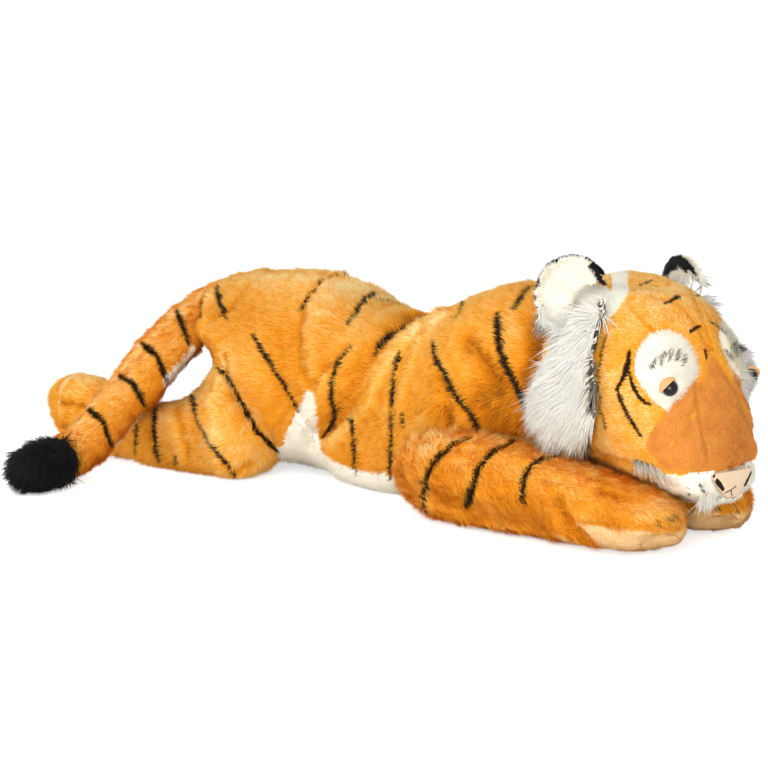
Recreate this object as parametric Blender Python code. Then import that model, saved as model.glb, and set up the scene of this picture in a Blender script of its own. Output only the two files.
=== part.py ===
"""Plush tiger lying on its belly, in metres: +X to its nose, +Y to its left, and the floor at z = 0."""

import math

import bmesh
import bpy
from mathutils import Matrix, Vector

# Fabric, seams and stuffing
pile_fabric_thickness = 0.004
seam_gap = 0.0003
stuffing_gap = 0.0006
floor_cut_depth = 0.0005
cut_overrun = 0.020
merge_distance = 0.000002

# Bends smaller than this, in degrees, are left out of a cut piece
flat_angle = 0.2

# Torso
torso_length = 0.515
torso_width = 0.186
torso_height = 0.186
rump_reach = 0.400
belly_seam_height = 0.022
belly_panel_length = 0.400
belly_panel_back = 0.330

# Head and neck
head_length = 0.184
head_width = 0.135
head_height = 0.170
head_back = 0.060
chin_height = 0.034
neck_pivot_ahead = 0.086
neck_pivot_height = 0.116

# Face panels
bridge_width = 0.100
bridge_height = 0.082
lip_line_height = 0.064
lip_half_width = 0.042
lip_depth = 0.022
nose_width = 0.042
nose_depth = 0.021
nose_drop = 0.0010
panel_overlap = 0.0030
chin_panel_width = 0.066
eye_patch_height = 0.059
eye_patch_width = 0.048
eye_patch_inwards = 0.003
eye_patch_above_eye = 0.012

# Eyes
eye_diameter = 0.0125
eye_bulge = 0.0052
eye_recess = 0.0012
eye_stem_diameter = 0.0040
eye_stem_length = 0.012
washer_diameter = 0.015
washer_thickness = 0.0024
washer_seat = 0.0025
eyelid_thickness = 0.0018
eye_half_spacing = 0.044
eye_height = 0.127

eye_turn = math.radians(37.0)
eye_tilt = math.radians(7.0)

# Ears
ear_turn = math.radians(50.0)
ear_tilt = math.radians(6.0)
left_ear_turn = math.radians(74.0)
ear_width = 0.060
ear_height = 0.062
ear_panel_thickness = 0.0042
ear_cup_depth = 0.011
ear_half_spacing = 0.060
ear_ahead = 0.128
ear_centre_height = 0.189
left_ear_forward = 0.010
left_ear_drop = 0.007

# Cheek ruffs
ruff_height = 0.106
ruff_width = 0.078
ruff_thickness = 0.060
ruff_ahead = 0.138
ruff_bottom = 0.080
ruff_half_spacing = 0.055

# Legs, which the toy's weight flattens a little below
limb_lower_fullness = 3.0

# Forelegs
foreleg_length = 0.256
foreleg_thickness = 0.082
foreleg_height = 0.078
elbow_back = 0.020
elbow_half_spacing = 0.088
paw_half_spacing = 0.050
left_foreleg_back = 0.017
left_paw_half_spacing = 0.030
foreleg_pivot_ahead = -0.020
foreleg_pivot_half_spacing = 0.070
fore_sole_length = 0.088
fore_sole_height = 0.026

# Hind legs
thigh_length = 0.137
thigh_height = 0.120
thigh_thickness = 0.092
knee_ahead = -0.203
thigh_half_spacing = 0.076
shank_length = 0.250
shank_thickness = 0.062
knee_half_spacing = 0.101
heel_half_spacing = 0.136
hindleg_pivot_back = 0.310
hindleg_pivot_half_spacing = 0.062
hind_sole_length = 0.030

# Tail
tail_thickness = 0.049
tail_drop = 0.108
tail_sideways = 0.262
tail_forward = 0.098
tail_root_back = 0.384
tail_tip_length = 0.072
underside_width = 0.030
underside_drop_share = 0.85
tail_tip_thickness = 0.044

# Motion that the seams allow, in degrees
head_nod_range = (0.0, 14.0)
ear_fold_range = (-18.0, 18.0)
foreleg_swing_range = (0.0, 16.0)
hindleg_swing_range = (0.0, 7.0)
tail_lift_range = (0.0, 20.0)

# Colours and finishes of the cloth and the plastic
finishes = {
    "orange_plush": ((0.80, 0.36, 0.07), 0.9, 0.0),
    "white_plush": ((0.86, 0.84, 0.78), 0.9, 0.0),
    "black_plush": ((0.015, 0.014, 0.014), 0.85, 0.0),
    "brown_plush": ((0.42, 0.17, 0.05), 0.9, 0.0),
    "beige_plush": ((0.72, 0.50, 0.31), 0.9, 0.0),
    "peach_plush": ((0.72, 0.42, 0.27), 0.85, 0.0),
    "eye_plastic": ((0.012, 0.010, 0.009), 0.12, 0.0),
    "washer_plastic": ((0.75, 0.75, 0.73), 0.4, 0.0),
    "polyester_fill": ((0.88, 0.88, 0.86), 1.0, 0.0),
}

# Sections of the torso, rump to neck: along its length, half width, top, bottom and lower fullness
torso_station_shares = [
    (0.000, 0.10, 0.66, 0.46, 2.0),
    (0.018, 0.34, 0.77, 0.26, 2.0),
    (0.055, 0.60, 0.83, 0.10, 2.1),
    (0.115, 0.82, 0.870, 0.00, 2.4),
    (0.200, 0.94, 0.878, 0.00, 2.6),
    (0.300, 0.95, 0.859, 0.00, 2.6),
    (0.400, 0.88, 0.818, 0.00, 3.2),
    (0.490, 0.83, 0.782, 0.00, 4.2),
    (0.565, 0.83, 0.772, 0.00, 4.4),
    (0.640, 0.87, 0.830, 0.00, 3.4),
    (0.720, 0.94, 0.930, 0.00, 2.6),
    (0.800, 1.00, 1.000, 0.00, 2.2),
    (0.870, 0.94, 0.985, 0.06, 1.3),
    (0.930, 0.78, 0.900, 0.18, 1.5),
    (0.975, 0.50, 0.780, 0.34, 1.8),
    (1.000, 0.16, 0.660, 0.52, 2.0),
]

# Sections of the head, neck to nose: along its length, half width, top, bottom and lower fullness
head_station_shares = [
    (0.000, 0.16, 0.60, 0.42, 2.0),
    (0.030, 0.52, 0.77, 0.26, 2.0),
    (0.105, 0.76, 0.89, 0.17, 2.1),
    (0.220, 0.90, 0.965, 0.12, 2.2),
    (0.340, 0.98, 0.998, 0.09, 2.3),
    (0.470, 1.00, 1.000, 0.07, 2.4),
    (0.600, 0.98, 0.970, 0.05, 2.5),
    (0.710, 0.92, 0.905, 0.03, 2.5),
    (0.800, 0.84, 0.805, 0.01, 2.5),
    (0.870, 0.77, 0.680, 0.00, 2.5),
    (0.925, 0.70, 0.525, 0.00, 2.5),
    (0.965, 0.62, 0.370, 0.01, 2.4),
    (0.988, 0.42, 0.270, 0.04, 2.3),
    (1.000, 0.14, 0.200, 0.09, 2.0),
]

# Middle line of the foreleg, elbow to toes: along, sideways towards the paw, height and width
foreleg_station_shares = [
    (0.000, 0.00, 0.12, 0.12),
    (0.010, 0.00, 0.44, 0.42),
    (0.036, 0.00, 0.72, 0.72),
    (0.085, 0.02, 0.92, 0.92),
    (0.170, 0.06, 1.00, 1.00),
    (0.300, 0.12, 1.00, 1.00),
    (0.430, 0.20, 0.97, 0.96),
    (0.560, 0.34, 0.90, 0.92),
    (0.680, 0.52, 0.82, 0.90),
    (0.790, 0.72, 0.74, 0.92),
    (0.880, 0.88, 0.67, 0.88),
    (0.945, 0.97, 0.57, 0.74),
    (0.985, 1.01, 0.42, 0.48),
    (1.000, 1.02, 0.22, 0.18),
]

# Sections of the thigh, rump to knee: along its length, half width, top, bottom and lean outwards
thigh_station_shares = [
    (0.000, 0.14, 0.36, 0.22, 0.0),
    (0.030, 0.50, 0.50, 0.08, 0.0),
    (0.120, 0.84, 0.66, 0.00, 0.0),
    (0.260, 0.98, 0.84, 0.00, 0.1),
    (0.420, 1.02, 0.96, 0.00, 0.3),
    (0.580, 1.02, 0.97, 0.00, 0.5),
    (0.720, 0.98, 0.86, 0.00, 0.8),
    (0.850, 0.86, 0.70, 0.00, 1.0),
    (0.940, 0.64, 0.54, 0.03, 1.0),
    (0.990, 0.32, 0.40, 0.12, 1.0),
    (1.000, 0.12, 0.31, 0.20, 1.0),
]

# Middle line of the shank, knee back to toes: along, sideways, height and width
shank_station_shares = [
    (0.050, 0.02, 0.50, 0.50),
    (0.100, 0.06, 0.84, 0.90),
    (0.180, 0.14, 0.96, 1.00),
    (0.300, 0.32, 0.98, 1.00),
    (0.450, 0.56, 0.92, 0.92),
    (0.590, 0.78, 0.88, 0.84),
    (0.710, 0.92, 0.98, 0.86),
    (0.810, 0.99, 1.14, 0.94),
    (0.900, 1.02, 1.18, 0.94),
    (0.955, 1.03, 1.06, 0.76),
    (0.988, 1.03, 0.74, 0.46),
    (1.000, 1.03, 0.48, 0.14),
]

# Middle line of the tail from the rump to the floor: forward, sideways, height, and thickness
tail_station_shares = [
    (0.17, -0.02, 0.93, 0.70),
    (0.09, 0.03, 0.95, 0.98),
    (0.18, 0.134, 0.92, 1.00),
    (0.300, 0.244, 0.866, 1.00),
    (0.417, 0.351, 0.764, 0.99),
    (0.50, 0.458, 0.634, 0.98),
    (0.60, 0.588, 0.403, 0.97),
    (0.69, 0.710, 0.180, 0.94),
    (0.76, 0.790, 0.055, 0.91),
    (0.80, 0.850, 0.008, 0.90),
    (0.83, 0.880, 0.000, 0.90),
    (0.85, 0.900, 0.000, 0.90),
]
tail_tip_station_shares = [
    (0.00, 0.98),
    (0.20, 1.08),
    (0.48, 1.10),
    (0.74, 0.94),
    (0.90, 0.66),
    (0.98, 0.36),
    (1.00, 0.12),
]

# Level sections of the cheek ruff from the throat to the ear: up, ahead, sideways, width and thickness
ruff_station_shares = [
    (0.00, -0.10, 1.00, 0.40, 0.44),
    (0.06, -0.10, 1.00, 0.78, 0.78),
    (0.20, -0.08, 1.00, 1.00, 1.00),
    (0.42, 0.00, 1.00, 0.88, 1.00),
    (0.62, 0.12, 0.98, 0.64, 0.92),
    (0.80, 0.22, 0.92, 0.44, 0.80),
    (0.94, 0.26, 0.86, 0.28, 0.60),
    (1.00, 0.26, 0.84, 0.12, 0.30),
]

# Outlines of the face panels: across and up, of each panel's own width and height
bridge_outline_shares = [
    (0.00, 1.00), (0.08, 0.96), (0.26, 0.80), (0.46, 0.64), (0.66, 0.44),
    (1.00, 0.20), (0.97, 0.08), (0.80, 0.00), (0.00, 0.00),
]
nose_outline_shares = [(0.00, 1.00), (0.88, 1.00), (1.00, 0.80), (0.66, 0.34), (0.24, 0.00), (0.00, 0.00)]
belly_outline_shares = [
    (0.00, 0.20), (0.04, 0.60), (0.16, 1.00), (0.26, 1.10), (0.315, 2.30),
    (0.335, 3.70), (0.365, 2.70), (0.42, 1.30), (0.55, 1.00), (0.90, 0.90), (1.00, 0.50),
]

# Rings of an ear panel from its middle to its rim
ear_ring_shares = [0.08, 0.40, 0.70, 0.88, 0.97, 1.00]
ear_front_share = 0.93
ear_base_share = 0.84

# How much thinner an ear panel is at its rim, and how sharply it thins there
ear_rim_thinning_share = 0.8
ear_rim_power = 6

# Where the eyelid's edge crosses the eye, the way the lid rises, and the width of a dome's flat tip
lid_line_share = 0.25
lid_rise_share = 0.7
lid_outward_share = 0.7
patch_point_share = 0.45
dome_tip_share = 0.08

# How far along the head each face panel's cut begins
nose_near_share = 0.82
lip_near_share = 0.74
bridge_near_share = 0.5
chin_near_share = 0.6

# The least that a cut leaves of a piece, of its volume
least_volume_share = 0.002

# Points round a section of each kind of form
torso_sides = 24
head_sides = 22
limb_sides = 12

# Points round the hidden inner faces and the stuffing
torso_inner_sides = 14
head_inner_sides = 14
limb_inner_sides = 8

# Points round the small forms
small_sides = 10
ear_sides = 16
eye_sides = 12
patch_sides = 16
dome_steps = 4

# The sharpest bend, in degrees, that is still shaded as round
round_angle = 40.0


def clear_scene():
    for thing in list(bpy.data.objects):
        bpy.data.objects.remove(thing, do_unlink=True)


def finish_material(name):
    known = bpy.data.materials.get(name)
    if known:
        return known
    colour, roughness, metallic = finishes[name]
    material = bpy.data.materials.new(name)
    material.use_nodes = True
    shader = material.node_tree.nodes["Principled BSDF"]
    shader.inputs["Base Color"].default_value = (*colour, 1.0)
    shader.inputs["Roughness"].default_value = roughness
    shader.inputs["Metallic"].default_value = metallic
    material.diffuse_color = (*colour, 1.0)
    return material


def object_of(mesh_data, name):
    """A scene object from bmesh data, its faces turned outwards."""
    bmesh.ops.recalc_face_normals(mesh_data, faces=mesh_data.faces)
    mesh = bpy.data.meshes.new(name)
    mesh_data.to_mesh(mesh)
    mesh_data.free()
    made = bpy.data.objects.new(name, mesh)
    bpy.context.scene.collection.objects.link(made)
    return made


def loft(name, rings):
    """A closed form through rings of points, each end closed by a face."""
    mesh_data = bmesh.new()
    rows = [[mesh_data.verts.new(point) for point in ring] for ring in rings]
    for near, far in zip(rows, rows[1:]):
        for index in range(len(near)):
            following = (index + 1) % len(near)
            mesh_data.faces.new((near[index], near[following], far[following]))
            mesh_data.faces.new((near[index], far[following], far[index]))
    mesh_data.faces.new(rows[0])
    mesh_data.faces.new(rows[-1])
    return object_of(mesh_data, name)


def ring_points(centre, across, upwards, half_width, rise, drop, sides, lower_fullness=2.0):
    """An oval ring whose lower half can be fuller or slimmer than an ellipse."""
    points = []
    for index in range(sides):
        angle = math.tau * index / sides
        cosine, sine = math.cos(angle), math.sin(angle)
        fullness = 2.0 if sine >= 0.0 else lower_fullness
        side = math.copysign(abs(cosine) ** (2.0 / fullness), cosine) * half_width
        reach = rise if sine >= 0.0 else drop
        height = math.copysign(abs(sine) ** (2.0 / fullness), sine) * reach
        points.append(centre + across * side + upwards * height)
    return points


def tube(name, middle, half_widths, half_heights, sides, lower_fullness=2.0):
    """A closed form round a bent middle line, its sections square to the line."""
    rings = []
    for index, point in enumerate(middle):
        before = middle[max(index - 1, 0)]
        after = middle[min(index + 1, len(middle) - 1)]
        along = (after - before).normalized()
        across = along.cross(Vector((0.0, 0.0, 1.0))).normalized()
        upwards = across.cross(along).normalized()
        size = half_heights[index]
        width = half_widths[index]
        rings.append(ring_points(point, across, upwards, width, size, size, sides, lower_fullness))
    return loft(name, rings)


def volume_of(mesh):
    """The volume inside a mesh, or zero where an edge lacks a face on one side."""
    mesh_data = bmesh.new()
    mesh_data.from_mesh(mesh)
    closed = all(len(edge.link_faces) == 2 for edge in mesh_data.edges)
    volume = mesh_data.calc_volume() if closed else 0.0
    mesh_data.free()
    return volume


def combine(body, tool, operation):
    """Cuts, joins or intersects a body with a tool, and takes the tool away.

    Curved forms that nearly touch can leave an exact cut open or empty, and the manifold solver does it."""
    before = body.data
    least = volume_of(before) * least_volume_share
    for solver in ("EXACT", "MANIFOLD"):
        body.data = before.copy()
        step = body.modifiers.new(operation.lower(), "BOOLEAN")
        step.operation = operation
        step.solver = solver
        step.object = tool
        with bpy.context.temp_override(object=body, active_object=body, selected_objects=[body]):
            bpy.ops.object.modifier_apply(modifier=step.name)
        if volume_of(body.data) > least:
            break
    bpy.data.objects.remove(tool, do_unlink=True)
    return body


def copy_of(body, name):
    made = body.copy()
    made.data = body.data.copy()
    made.name = name
    bpy.context.scene.collection.objects.link(made)
    return made


def box_between(name, low, high):
    mesh_data = bmesh.new()
    bmesh.ops.create_cube(mesh_data, size=1.0)
    for vertex in mesh_data.verts:
        vertex.co = Vector([low[axis] if vertex.co[axis] < 0.0 else high[axis] for axis in range(3)])
    return object_of(mesh_data, name)


def prism(name, outline, origin, across, upwards, near, far):
    """A straight prism on a flat outline, from near to far along its normal."""
    normal = across.cross(upwards).normalized()
    rings = []
    for distance in (near, far):
        level = origin + normal * distance
        rings.append([level + across * x + upwards * y for x, y in outline])
    return loft(name, rings)


def mirror_outline(half, width, height):
    """A symmetrical outline from the shares of its right half, top to bottom."""
    right = [(width / 2 * across, height * up) for across, up in half]
    left = [(-x, y) for x, y in reversed(right) if x > 0.0]
    return right + left


def grown(outline, growth):
    """The outline with each side moved outwards by a distance."""
    count = len(outline)
    area = 0.0
    for index, (x, y) in enumerate(outline):
        before = outline[index - 1]
        area += before[0] * y - x * before[1]
    outwards = growth if area > 0.0 else -growth
    moved = []
    for index, (x, y) in enumerate(outline):
        before, after = outline[index - 1], outline[(index + 1) % count]
        first = Vector((y - before[1], before[0] - x)).normalized()
        second = Vector((after[1] - y, x - after[0])).normalized()
        shift = (first + second) * (outwards / (1.0 + first.dot(second)))
        moved.append((x + shift.x, y + shift.y))
    return moved


def cut_floor(body):
    """Cuts a form flat where it rests."""
    points = [vertex.co for vertex in body.data.vertices]
    low = [min(point[axis] for point in points) - cut_overrun for axis in range(3)]
    high = [max(point[axis] for point in points) + cut_overrun for axis in range(3)]
    high[2] = 0.0
    return combine(body, box_between("floor_cut", low, high), "DIFFERENCE")


def turned(body, pivot, axis, degrees):
    """Turns a form's points about an axis through a pivot."""
    turn = Matrix.Translation(pivot) @ Matrix.Rotation(math.radians(degrees), 4, axis)
    body.data.transform(turn @ Matrix.Translation(-pivot))
    return body


def clear_of(body, make_larger, pivot, axis, angles):
    """Cuts a body by a larger form, also where the joint's turn would bring them together."""
    for degrees in angles:
        combine(body, turned(make_larger(), pivot, axis, -degrees), "DIFFERENCE")
    return body


def drop_offcuts(body):
    """Merges the cuts' doubled points and keeps a piece's largest body, without the scraps beside a seam."""
    mesh_data = bmesh.new()
    mesh_data.from_mesh(body.data)
    bmesh.ops.remove_doubles(mesh_data, verts=mesh_data.verts, dist=merge_distance)
    bmesh.ops.dissolve_degenerate(mesh_data, edges=mesh_data.edges, dist=merge_distance)
    left, groups = set(mesh_data.faces), []
    while left:
        group, border = set(), [left.pop()]
        while border:
            face = border.pop()
            group.add(face)
            for edge in face.edges:
                for other in edge.link_faces:
                    if other in left:
                        left.discard(other)
                        border.append(other)
        groups.append(group)
    groups.sort(key=lambda group: sum(face.calc_area() for face in group))
    scraps = [face for group in groups[:-1] for face in group]
    bmesh.ops.delete(mesh_data, geom=scraps, context="FACES")
    flat = math.radians(flat_angle)
    bmesh.ops.dissolve_limit(mesh_data, angle_limit=flat, verts=mesh_data.verts, edges=mesh_data.edges)
    bmesh.ops.triangulate(mesh_data, faces=mesh_data.faces)
    mesh_data.to_mesh(body.data)
    mesh_data.free()


def give_finish(body, name, material_name, pivot=None):
    """Names a finished piece, gives it its cloth and puts its origin on its joint."""
    drop_offcuts(body)
    body.name = name
    body.data.name = name
    body.data.materials.clear()
    body.data.materials.append(finish_material(material_name))
    for face in body.data.polygons:
        face.use_smooth = True
    body.data.set_sharp_from_angle(angle=math.radians(round_angle))
    if pivot is not None:
        body.data.transform(Matrix.Translation(-pivot))
        body.location = pivot
    return body


def torso_form(growth=0.0):
    """The belly-down body, grown evenly by a distance."""
    sides = torso_inner_sides if growth < 0.0 else torso_sides
    rings = []
    for along, width, top, bottom, fullness in torso_station_shares:
        stretch = growth * (2.0 * along - 1.0)
        x = -rump_reach + torso_length * along + stretch
        high = torso_height * top + growth
        low = torso_height * bottom - growth - floor_cut_depth
        middle = Vector((x, 0.0, (high + low) / 2))
        half = (high - low) / 2
        half_width = torso_width / 2 * width + growth
        across, upwards = Vector((0.0, 1.0, 0.0)), Vector((0.0, 0.0, 1.0))
        rings.append(ring_points(middle, across, upwards, half_width, half, half, sides, fullness))
    return loft("torso_form", rings)


def head_form(growth=0.0):
    """The head from the neck to the nose, grown evenly by a distance."""
    sides = head_inner_sides if growth < 0.0 else head_sides
    rings = []
    for along, width, top, bottom, fullness in head_station_shares:
        stretch = growth * (2.0 * along - 1.0)
        x = head_back + head_length * along + stretch
        high = chin_height + head_height * top + growth
        low = chin_height + head_height * bottom - growth
        middle = Vector((x, 0.0, (high + low) / 2))
        half = (high - low) / 2
        half_width = head_width / 2 * width + growth
        across, upwards = Vector((0.0, 1.0, 0.0)), Vector((0.0, 0.0, 1.0))
        rings.append(ring_points(middle, across, upwards, half_width, half, half, sides, fullness))
    return loft("head_form", rings)


def foreleg_lay(side):
    """How far back a foreleg lies, and half the spacing of the paws for it: the left one is drawn in."""
    return (left_foreleg_back, left_paw_half_spacing) if side > 0 else (0.0, paw_half_spacing)


def foreleg_form(side, growth=0.0):
    """The forearm from the elbow to the toes; side is -1 on the right and 1 on the left."""
    middle, widths, heights = [], [], []
    back, paw_spacing = foreleg_lay(side)
    inwards = elbow_half_spacing - paw_spacing
    for along, sideways, height, width in foreleg_station_shares:
        half_height = (foreleg_height * height + floor_cut_depth) / 2
        x = -elbow_back - back + foreleg_length * along + growth * (2.0 * along - 1.0)
        y = side * (elbow_half_spacing - inwards * sideways)
        middle.append(Vector((x, y, half_height - floor_cut_depth)))
        widths.append(foreleg_thickness / 2 * width + growth)
        heights.append(half_height + growth)
    sides = limb_inner_sides if growth < 0.0 else limb_sides
    return tube("foreleg_form", middle, widths, heights, sides, limb_lower_fullness)


def thigh_form(side, growth=0.0):
    """The thigh mound beside the rump."""
    sides = limb_inner_sides if growth < 0.0 else limb_sides
    rings = []
    lean_reach = knee_half_spacing - thigh_half_spacing
    for along, width, top, bottom, lean in thigh_station_shares:
        x = knee_ahead - thigh_length * (1.0 - along) + growth * (2.0 * along - 1.0)
        high = thigh_height * top + growth
        low = thigh_height * bottom - growth - floor_cut_depth
        middle = Vector((x, side * (thigh_half_spacing + lean_reach * lean), (high + low) / 2))
        half = (high - low) / 2
        half_width = thigh_thickness / 2 * width + growth
        across, upwards = Vector((0.0, 1.0, 0.0)), Vector((0.0, 0.0, 1.0))
        fullness = limb_lower_fullness
        rings.append(ring_points(middle, across, upwards, half_width, half, half, sides, fullness))
    return loft("thigh_form", rings)


def shank_form(side, growth=0.0):
    """The lower hind leg from the knee back to the upturned toes."""
    middle, widths, heights = [], [], []
    outwards = heel_half_spacing - knee_half_spacing
    for along, sideways, height, width in shank_station_shares:
        half_height = (shank_thickness * height + floor_cut_depth) / 2
        x = knee_ahead - shank_length * along - growth * (2.0 * along - 1.0)
        y = side * (knee_half_spacing + outwards * sideways)
        middle.append(Vector((x, y, half_height - floor_cut_depth)))
        widths.append(shank_thickness / 2 * width + growth)
        heights.append(half_height + growth)
    sides = limb_inner_sides if growth < 0.0 else limb_sides
    return tube("shank_form", middle, widths, heights, sides, limb_lower_fullness)


def hindleg_form(side, growth=0.0):
    return combine(thigh_form(side, growth), shank_form(side, growth), "UNION")


def tail_point(share):
    forward, sideways, height = share[:3]
    low = tail_thickness / 2 - floor_cut_depth
    x = -tail_root_back + tail_forward * forward
    y = -tail_sideways * sideways
    return Vector((x, y, low + tail_drop * height))


def tail_form(growth=0.0):
    """The tail from inside the rump down to the black tip."""
    middle = [tail_point(share) for share in tail_station_shares]
    sizes = [tail_thickness / 2 * share[3] + growth for share in tail_station_shares]
    return tube("tail_form", middle, sizes, sizes, limb_sides)


def tail_underside_form(growth=0.0):
    """The space of the white strip under the tail: a slimmer tube below the tail's middle line."""
    below = Vector((0.0, 0.0, tail_thickness / 2 * underside_drop_share))
    stretch = tail_station_shares[2:-4]
    middle = [tail_point(share) - below for share in stretch]
    sizes = [underside_width / 2 * share[3] + growth for share in stretch]
    return tube("tail_underside_form", middle, sizes, sizes, small_sides)


def tail_tip_form(growth=0.0):
    """The thicker black end, in line with the tail's last stretch and flat on the floor."""
    last, before = tail_point(tail_station_shares[-1]), tail_point(tail_station_shares[-2])
    direction = last - before
    direction.z = 0.0
    direction.normalize()
    middle, sizes = [], []
    for along, thickness in tail_tip_station_shares:
        radius = tail_tip_thickness / 2 * thickness
        point = last + direction * (seam_gap + tail_tip_length * along + growth * (2.0 * along - 1.0))
        point.z = tail_tip_thickness / 2 - floor_cut_depth
        middle.append(point)
        sizes.append(radius + growth)
    return tube("tail_tip_form", middle, sizes, sizes, limb_sides)


def ruff_form(side, growth=0.0):
    """The long-pile cheek insert below the ear."""
    rings = []
    for up, ahead, sideways, width, thickness in ruff_station_shares:
        x = ruff_ahead + ruff_width / 2 * ahead
        height = ruff_bottom + ruff_height * up + growth * (2.0 * up - 1.0)
        middle = Vector((x, side * ruff_half_spacing * sideways, height))
        half_width = ruff_width / 2 * width + growth
        across, upwards = Vector((1.0, 0.0, 0.0)), Vector((0.0, 1.0, 0.0))
        half = ruff_thickness / 2 * thickness + growth
        rings.append(ring_points(middle, across, upwards, half_width, half, half, limb_sides))
    return loft("ruff_form", rings)


def turned_form(name, profile, centre, direction, sides):
    """A round form from a profile of radius and distance along its axis, front to back."""
    across = direction.orthogonal().normalized()
    upwards = direction.cross(across).normalized()
    rings = []
    for radius, distance in profile:
        ring = []
        for index in range(sides):
            angle = math.tau * index / sides
            around = across * math.cos(angle) + upwards * math.sin(angle)
            ring.append(centre + around * radius + direction * distance)
        rings.append(ring)
    return loft(name, rings)


def dome_profile(radius, bulge, steps):
    """A flattened dome's radius and height from its tip to its rim."""
    profile = []
    for index in range(steps + 1):
        angle = math.pi / 2 * (1.0 - index / steps)
        profile.append((max(radius * math.cos(angle), radius * dome_tip_share), bulge * math.sin(angle)))
    return profile


def surface_point(form, start, direction):
    """Where a line meets a form, from outside it."""
    far = head_length + head_width
    hit, place, _, _ = form.ray_cast(start + direction * far, -direction)
    return place if hit else start


def surface_facing(form, start, direction, reach):
    """The way a form faces round the place where a line meets it, over a small reach."""
    sideways = Vector((0.0, 0.0, 1.0)).cross(direction).normalized() * reach
    upwards = Vector((0.0, 0.0, reach))
    right, left = (surface_point(form, start + step, direction) for step in (sideways, -sideways))
    high, low = (surface_point(form, start + step, direction) for step in (upwards, -upwards))
    return (right - left).cross(high - low).normalized()


def dish(name, centre, across, upwards, front, back, reach):
    """An ear panel: a shallow dish between two depths, which follow the distance from its middle."""
    normal = across.cross(upwards).normalized()
    rings = []
    walk = [(share, front) for share in ear_ring_shares]
    walk += [(share, back) for share in reversed(ear_ring_shares)]
    for share, depth in walk:
        ring = []
        for index in range(ear_sides):
            angle = math.tau * index / ear_sides
            x, y = math.cos(angle) * ear_width / 2, math.sin(angle) * ear_height / 2
            point = across * x + upwards * y
            ring.append(centre + point * (share * reach) + normal * depth(share))
        rings.append(ring)
    return loft(name, rings)


def face_frame(side):
    """The across, up and outward directions of an eye patch, which looks ahead and outwards."""
    outwards = Vector((math.cos(eye_turn), side * math.sin(eye_turn), math.sin(eye_tilt))).normalized()
    across = Vector((0.0, 0.0, 1.0)).cross(outwards).normalized()
    return across, outwards.cross(across).normalized(), outwards


def ear_frame(side):
    """The across, up and outward directions of an ear, which looks outwards and a little ahead."""
    turn = left_ear_turn if side > 0 else ear_turn
    outwards = Vector((math.cos(turn), side * math.sin(turn), math.sin(ear_tilt))).normalized()
    across = Vector((0.0, 0.0, 1.0)).cross(outwards).normalized()
    return across, outwards.cross(across).normalized(), outwards


def steps_of(limits, count=3):
    """Angles spread evenly over a joint's range."""
    low, high = limits
    return [low + (high - low) * index / (count - 1) for index in range(count)]


def make_torso():
    outer = cut_floor(torso_form())
    shell = combine(outer, torso_form(-pile_fabric_thickness), "DIFFERENCE")
    start = Vector((-belly_panel_back, 0.0, 0.0))
    ahead, upwards = Vector((1.0, 0.0, 0.0)), Vector((0.0, 0.0, 1.0))
    top = [(belly_panel_length * along, belly_seam_height * up) for along, up in belly_outline_shares]
    outline = [(0.0, -cut_overrun)] + top + [(belly_panel_length, -cut_overrun)]
    reach = torso_width

    panel = copy_of(shell, "belly_panel")
    small = grown(outline, -seam_gap)
    combine(panel, prism("belly_cut", small, start, ahead, upwards, -reach, reach), "INTERSECT")
    combine(shell, prism("belly_cut", outline, start, ahead, upwards, -reach, reach), "DIFFERENCE")
    give_finish(shell, "torso_cover", "orange_plush")
    give_finish(panel, "belly_panel", "white_plush")
    give_finish(torso_form(-pile_fabric_thickness - stuffing_gap), "torso_stuffing", "polyester_fill")


def take_panel(shell, name, outline, origin, across, upwards, near, far, material_name, pivot):
    """Cuts a panel's outline through the shell and keeps the piece that fits the hole."""
    panel = copy_of(shell, name)
    small = grown(outline, -seam_gap)
    combine(panel, prism("panel_cut", small, origin, across, upwards, near, far), "INTERSECT")
    combine(shell, prism("panel_cut", outline, origin, across, upwards, near, far), "DIFFERENCE")
    return give_finish(panel, name, material_name, pivot)


def eye_profile():
    radius, stem = eye_diameter / 2, eye_stem_diameter / 2
    tip = eye_stem_length - eye_recess
    shank = [(radius, -eye_recess), (stem, -eye_recess), (stem, -tip)]
    return dome_profile(radius, eye_bulge, dome_steps) + shank


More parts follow.
